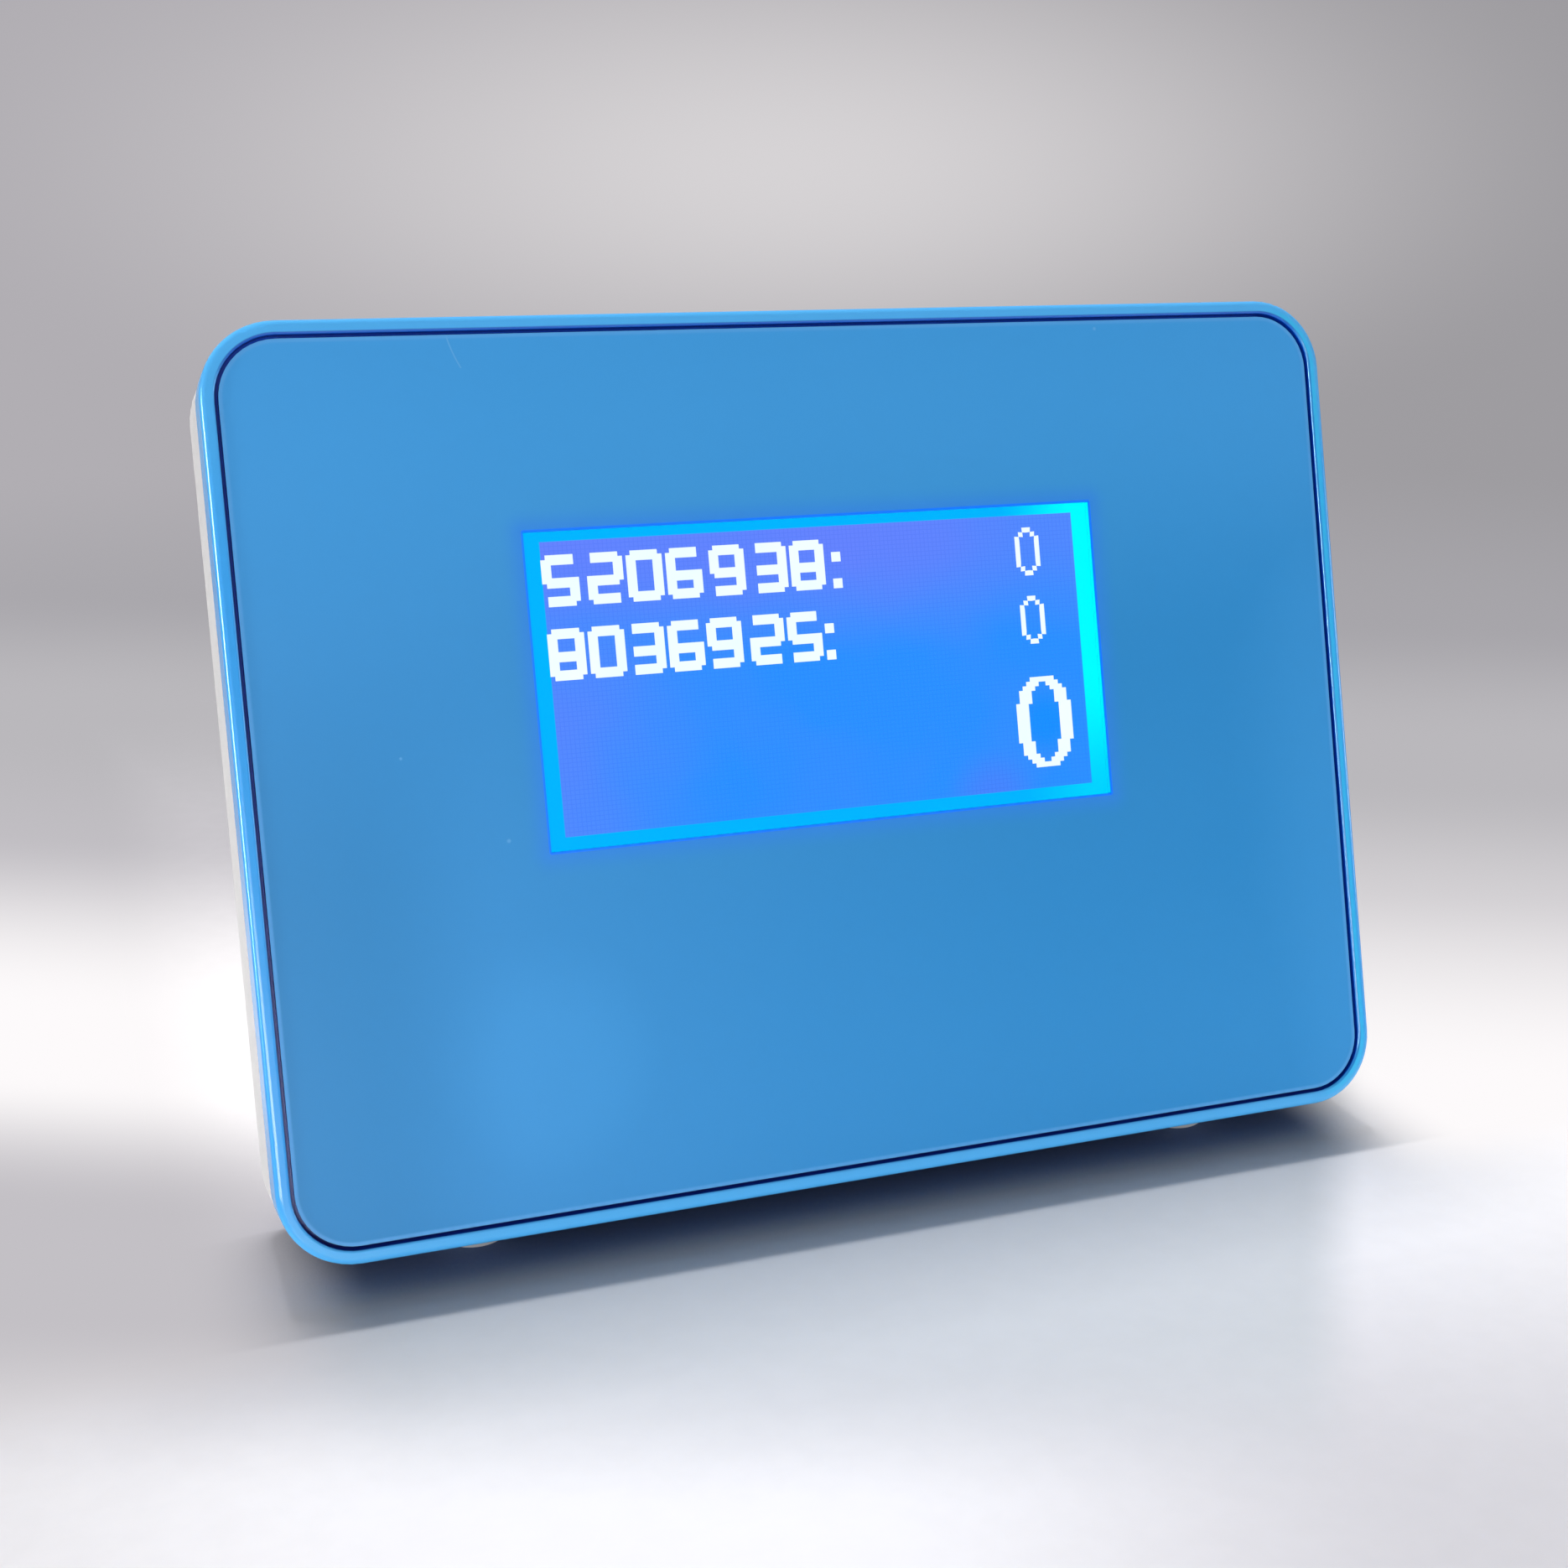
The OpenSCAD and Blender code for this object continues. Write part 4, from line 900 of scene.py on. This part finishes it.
def floorTone(tree, place, x, y, look):
    turned = put(tree, "Mapping", {"Vector": place, "Rotation": (0, 0, air["heading"])}).outputs[0]
    aside, ahead = put(tree, "SeparateXYZ", {0: turned}).outputs[:2]
    # the band runs a little askew, and sets in nearer to the camera at the right
    across = calc(tree, "ADD", ahead, product(tree, aside, look["bandTilt"]))
    rise = highest(tree, fade(tree, aside, *look["bandRight"]), fade(tree, across, *look["leftRise"]))
    band = product(tree, fade(tree, across, *look["bandRise"]), fade(tree, across, *look["bandFall"]), rise)
    pool = product(tree, fade(tree, ahead, *look["poolAhead"]), fade(tree, aside, *look["poolRight"]),
                   fade(tree, aside, *look["poolLeft"]))
    # painted shadow over the floor to the left of the object
    left = fade(tree, aside, *look["leftSide"])
    sheet = between(tree, left, paint(*look["sheet"]), paint(*look["leftShadow"]))
    sheet = between(tree, fade(tree, across, *look["dimRise"]), sheet, paint(*look["dim"]))
    sheet = between(tree, fade(tree, across, *look["farRise"]), sheet, paint(*look["far"]))
    # painted light: the bright band and the bright pool in front
    tone = between(tree, highest(tree, band, pool), sheet, paint(*look["bright"]))
    # painted shade in a strip before the object, tinted blue as a painted reflection of its front
    shadeStrip = product(tree, pastLine(tree, x, y, look["shadeStripRight"]),
                      pastLine(tree, x, y, look["shadeStripLeft"]),
                      fade(tree, ahead, *look["shadeStripAhead"]), fade(tree, y, *look["shadeStripBack"]))
    return between(tree, shadeStrip, tone, paint(*look["shadeStrip"]))


def floorFinish(look):
    finish, tree, shader = startFinish("floorSheet")
    place = put(tree, "TexCoord").outputs["Object"]
    x, y = put(tree, "SeparateXYZ", {0: place}).outputs[:2]
    tone = floorTone(tree, place, x, y, look)
    grain = fade(tree, cloud(tree, place, 0.004, 4.0), 0.3, 0.7, 0.99, 1.01)
    grains = put(tree, "CombineXYZ", {0: grain, 1: grain, 2: grain}).outputs[0]
    toned = put(tree, "VectorMath", {0: tone, 1: grains}, operation="MULTIPLY").outputs[0]
    # painted shade: what stands close over the floor darkens its paint
    free = put(tree, "AmbientOcclusion", {"Distance": look["contactShadeReach"]}, samples=6).outputs["AO"]
    lit = between(tree, fade(tree, free, *look["contactShadeOpen"]), paint(*look["contactShade"]), toned)
    fill(tree, shader, {"Base Color": lit, "Roughness": 0.8, "Specular IOR Level": 0.0})
    # far out the eye and gloss see the paint itself, glowing; past the shadow's two ends that glow is painted
    # light that fades the shadow off
    reach = put(tree, "VectorMath", {0: place}, operation="LENGTH").outputs["Value"]
    ends = product(tree, fade(tree, calc(tree, "ABSOLUTE", x), *look["shadowAside"]),
                   fade(tree, y, *look["shadowBack"]))
    bare = product(tree, seenDirectly(tree), highest(tree, ends, fade(tree, reach, *look["shadowReach"])))
    glow = put(tree, "Emission", {"Color": tone, "Strength": 1.0})
    painted = put(tree, "MixShader", {0: bare, 1: shader.outputs[0], 2: glow.outputs[0]}).outputs[0]
    clear = put(tree, "BsdfTransparent").outputs[0]
    whole = put(tree, "MixShader", {0: fade(tree, reach, *look["dissolve"]), 1: painted, 2: clear}).outputs[0]
    tree.links.new(whole, tree.nodes["Material Output"].inputs["Surface"])
    return finish


def buildFloor(look):
    # rings grow as the square of their number, so the sheet is finest round the object
    ring = (np.arange(1, look["rings"] + 1) / look["rings"]) ** 2 * look["radius"]
    turn = np.arange(look["spokes"]) / look["spokes"] * 2 * np.pi
    x = ring[:, None] * np.cos(turn)
    y = ring[:, None] * np.sin(turn)
    points = np.concatenate([[[0, 0, 0]], np.stack([x, y, x * 0], -1).reshape(-1, 3)])
    spoke = np.arange(look["spokes"])
    after = (spoke + 1) % look["spokes"]
    base = 1 + np.arange(look["rings"] - 1)[:, None] * look["spokes"]
    outer = base + look["spokes"]
    quads = np.stack([base + spoke, outer + spoke, outer + after, base + after], -1)
    fan = np.stack([spoke * 0, 1 + spoke, 1 + after], -1)
    mesh = bpy.data.meshes.new("floorSheet")
    mesh.from_pydata(points.tolist(), [], quads.reshape(-1, 4).tolist() + fan.tolist())
    floor = bpy.data.objects.new("floorSheet", mesh)
    bpy.context.scene.collection.objects.link(floor)
    return floor


floor = buildFloor(floorLook)
floor.data.materials.append(floorFinish(floorLook))
print("studio ready")
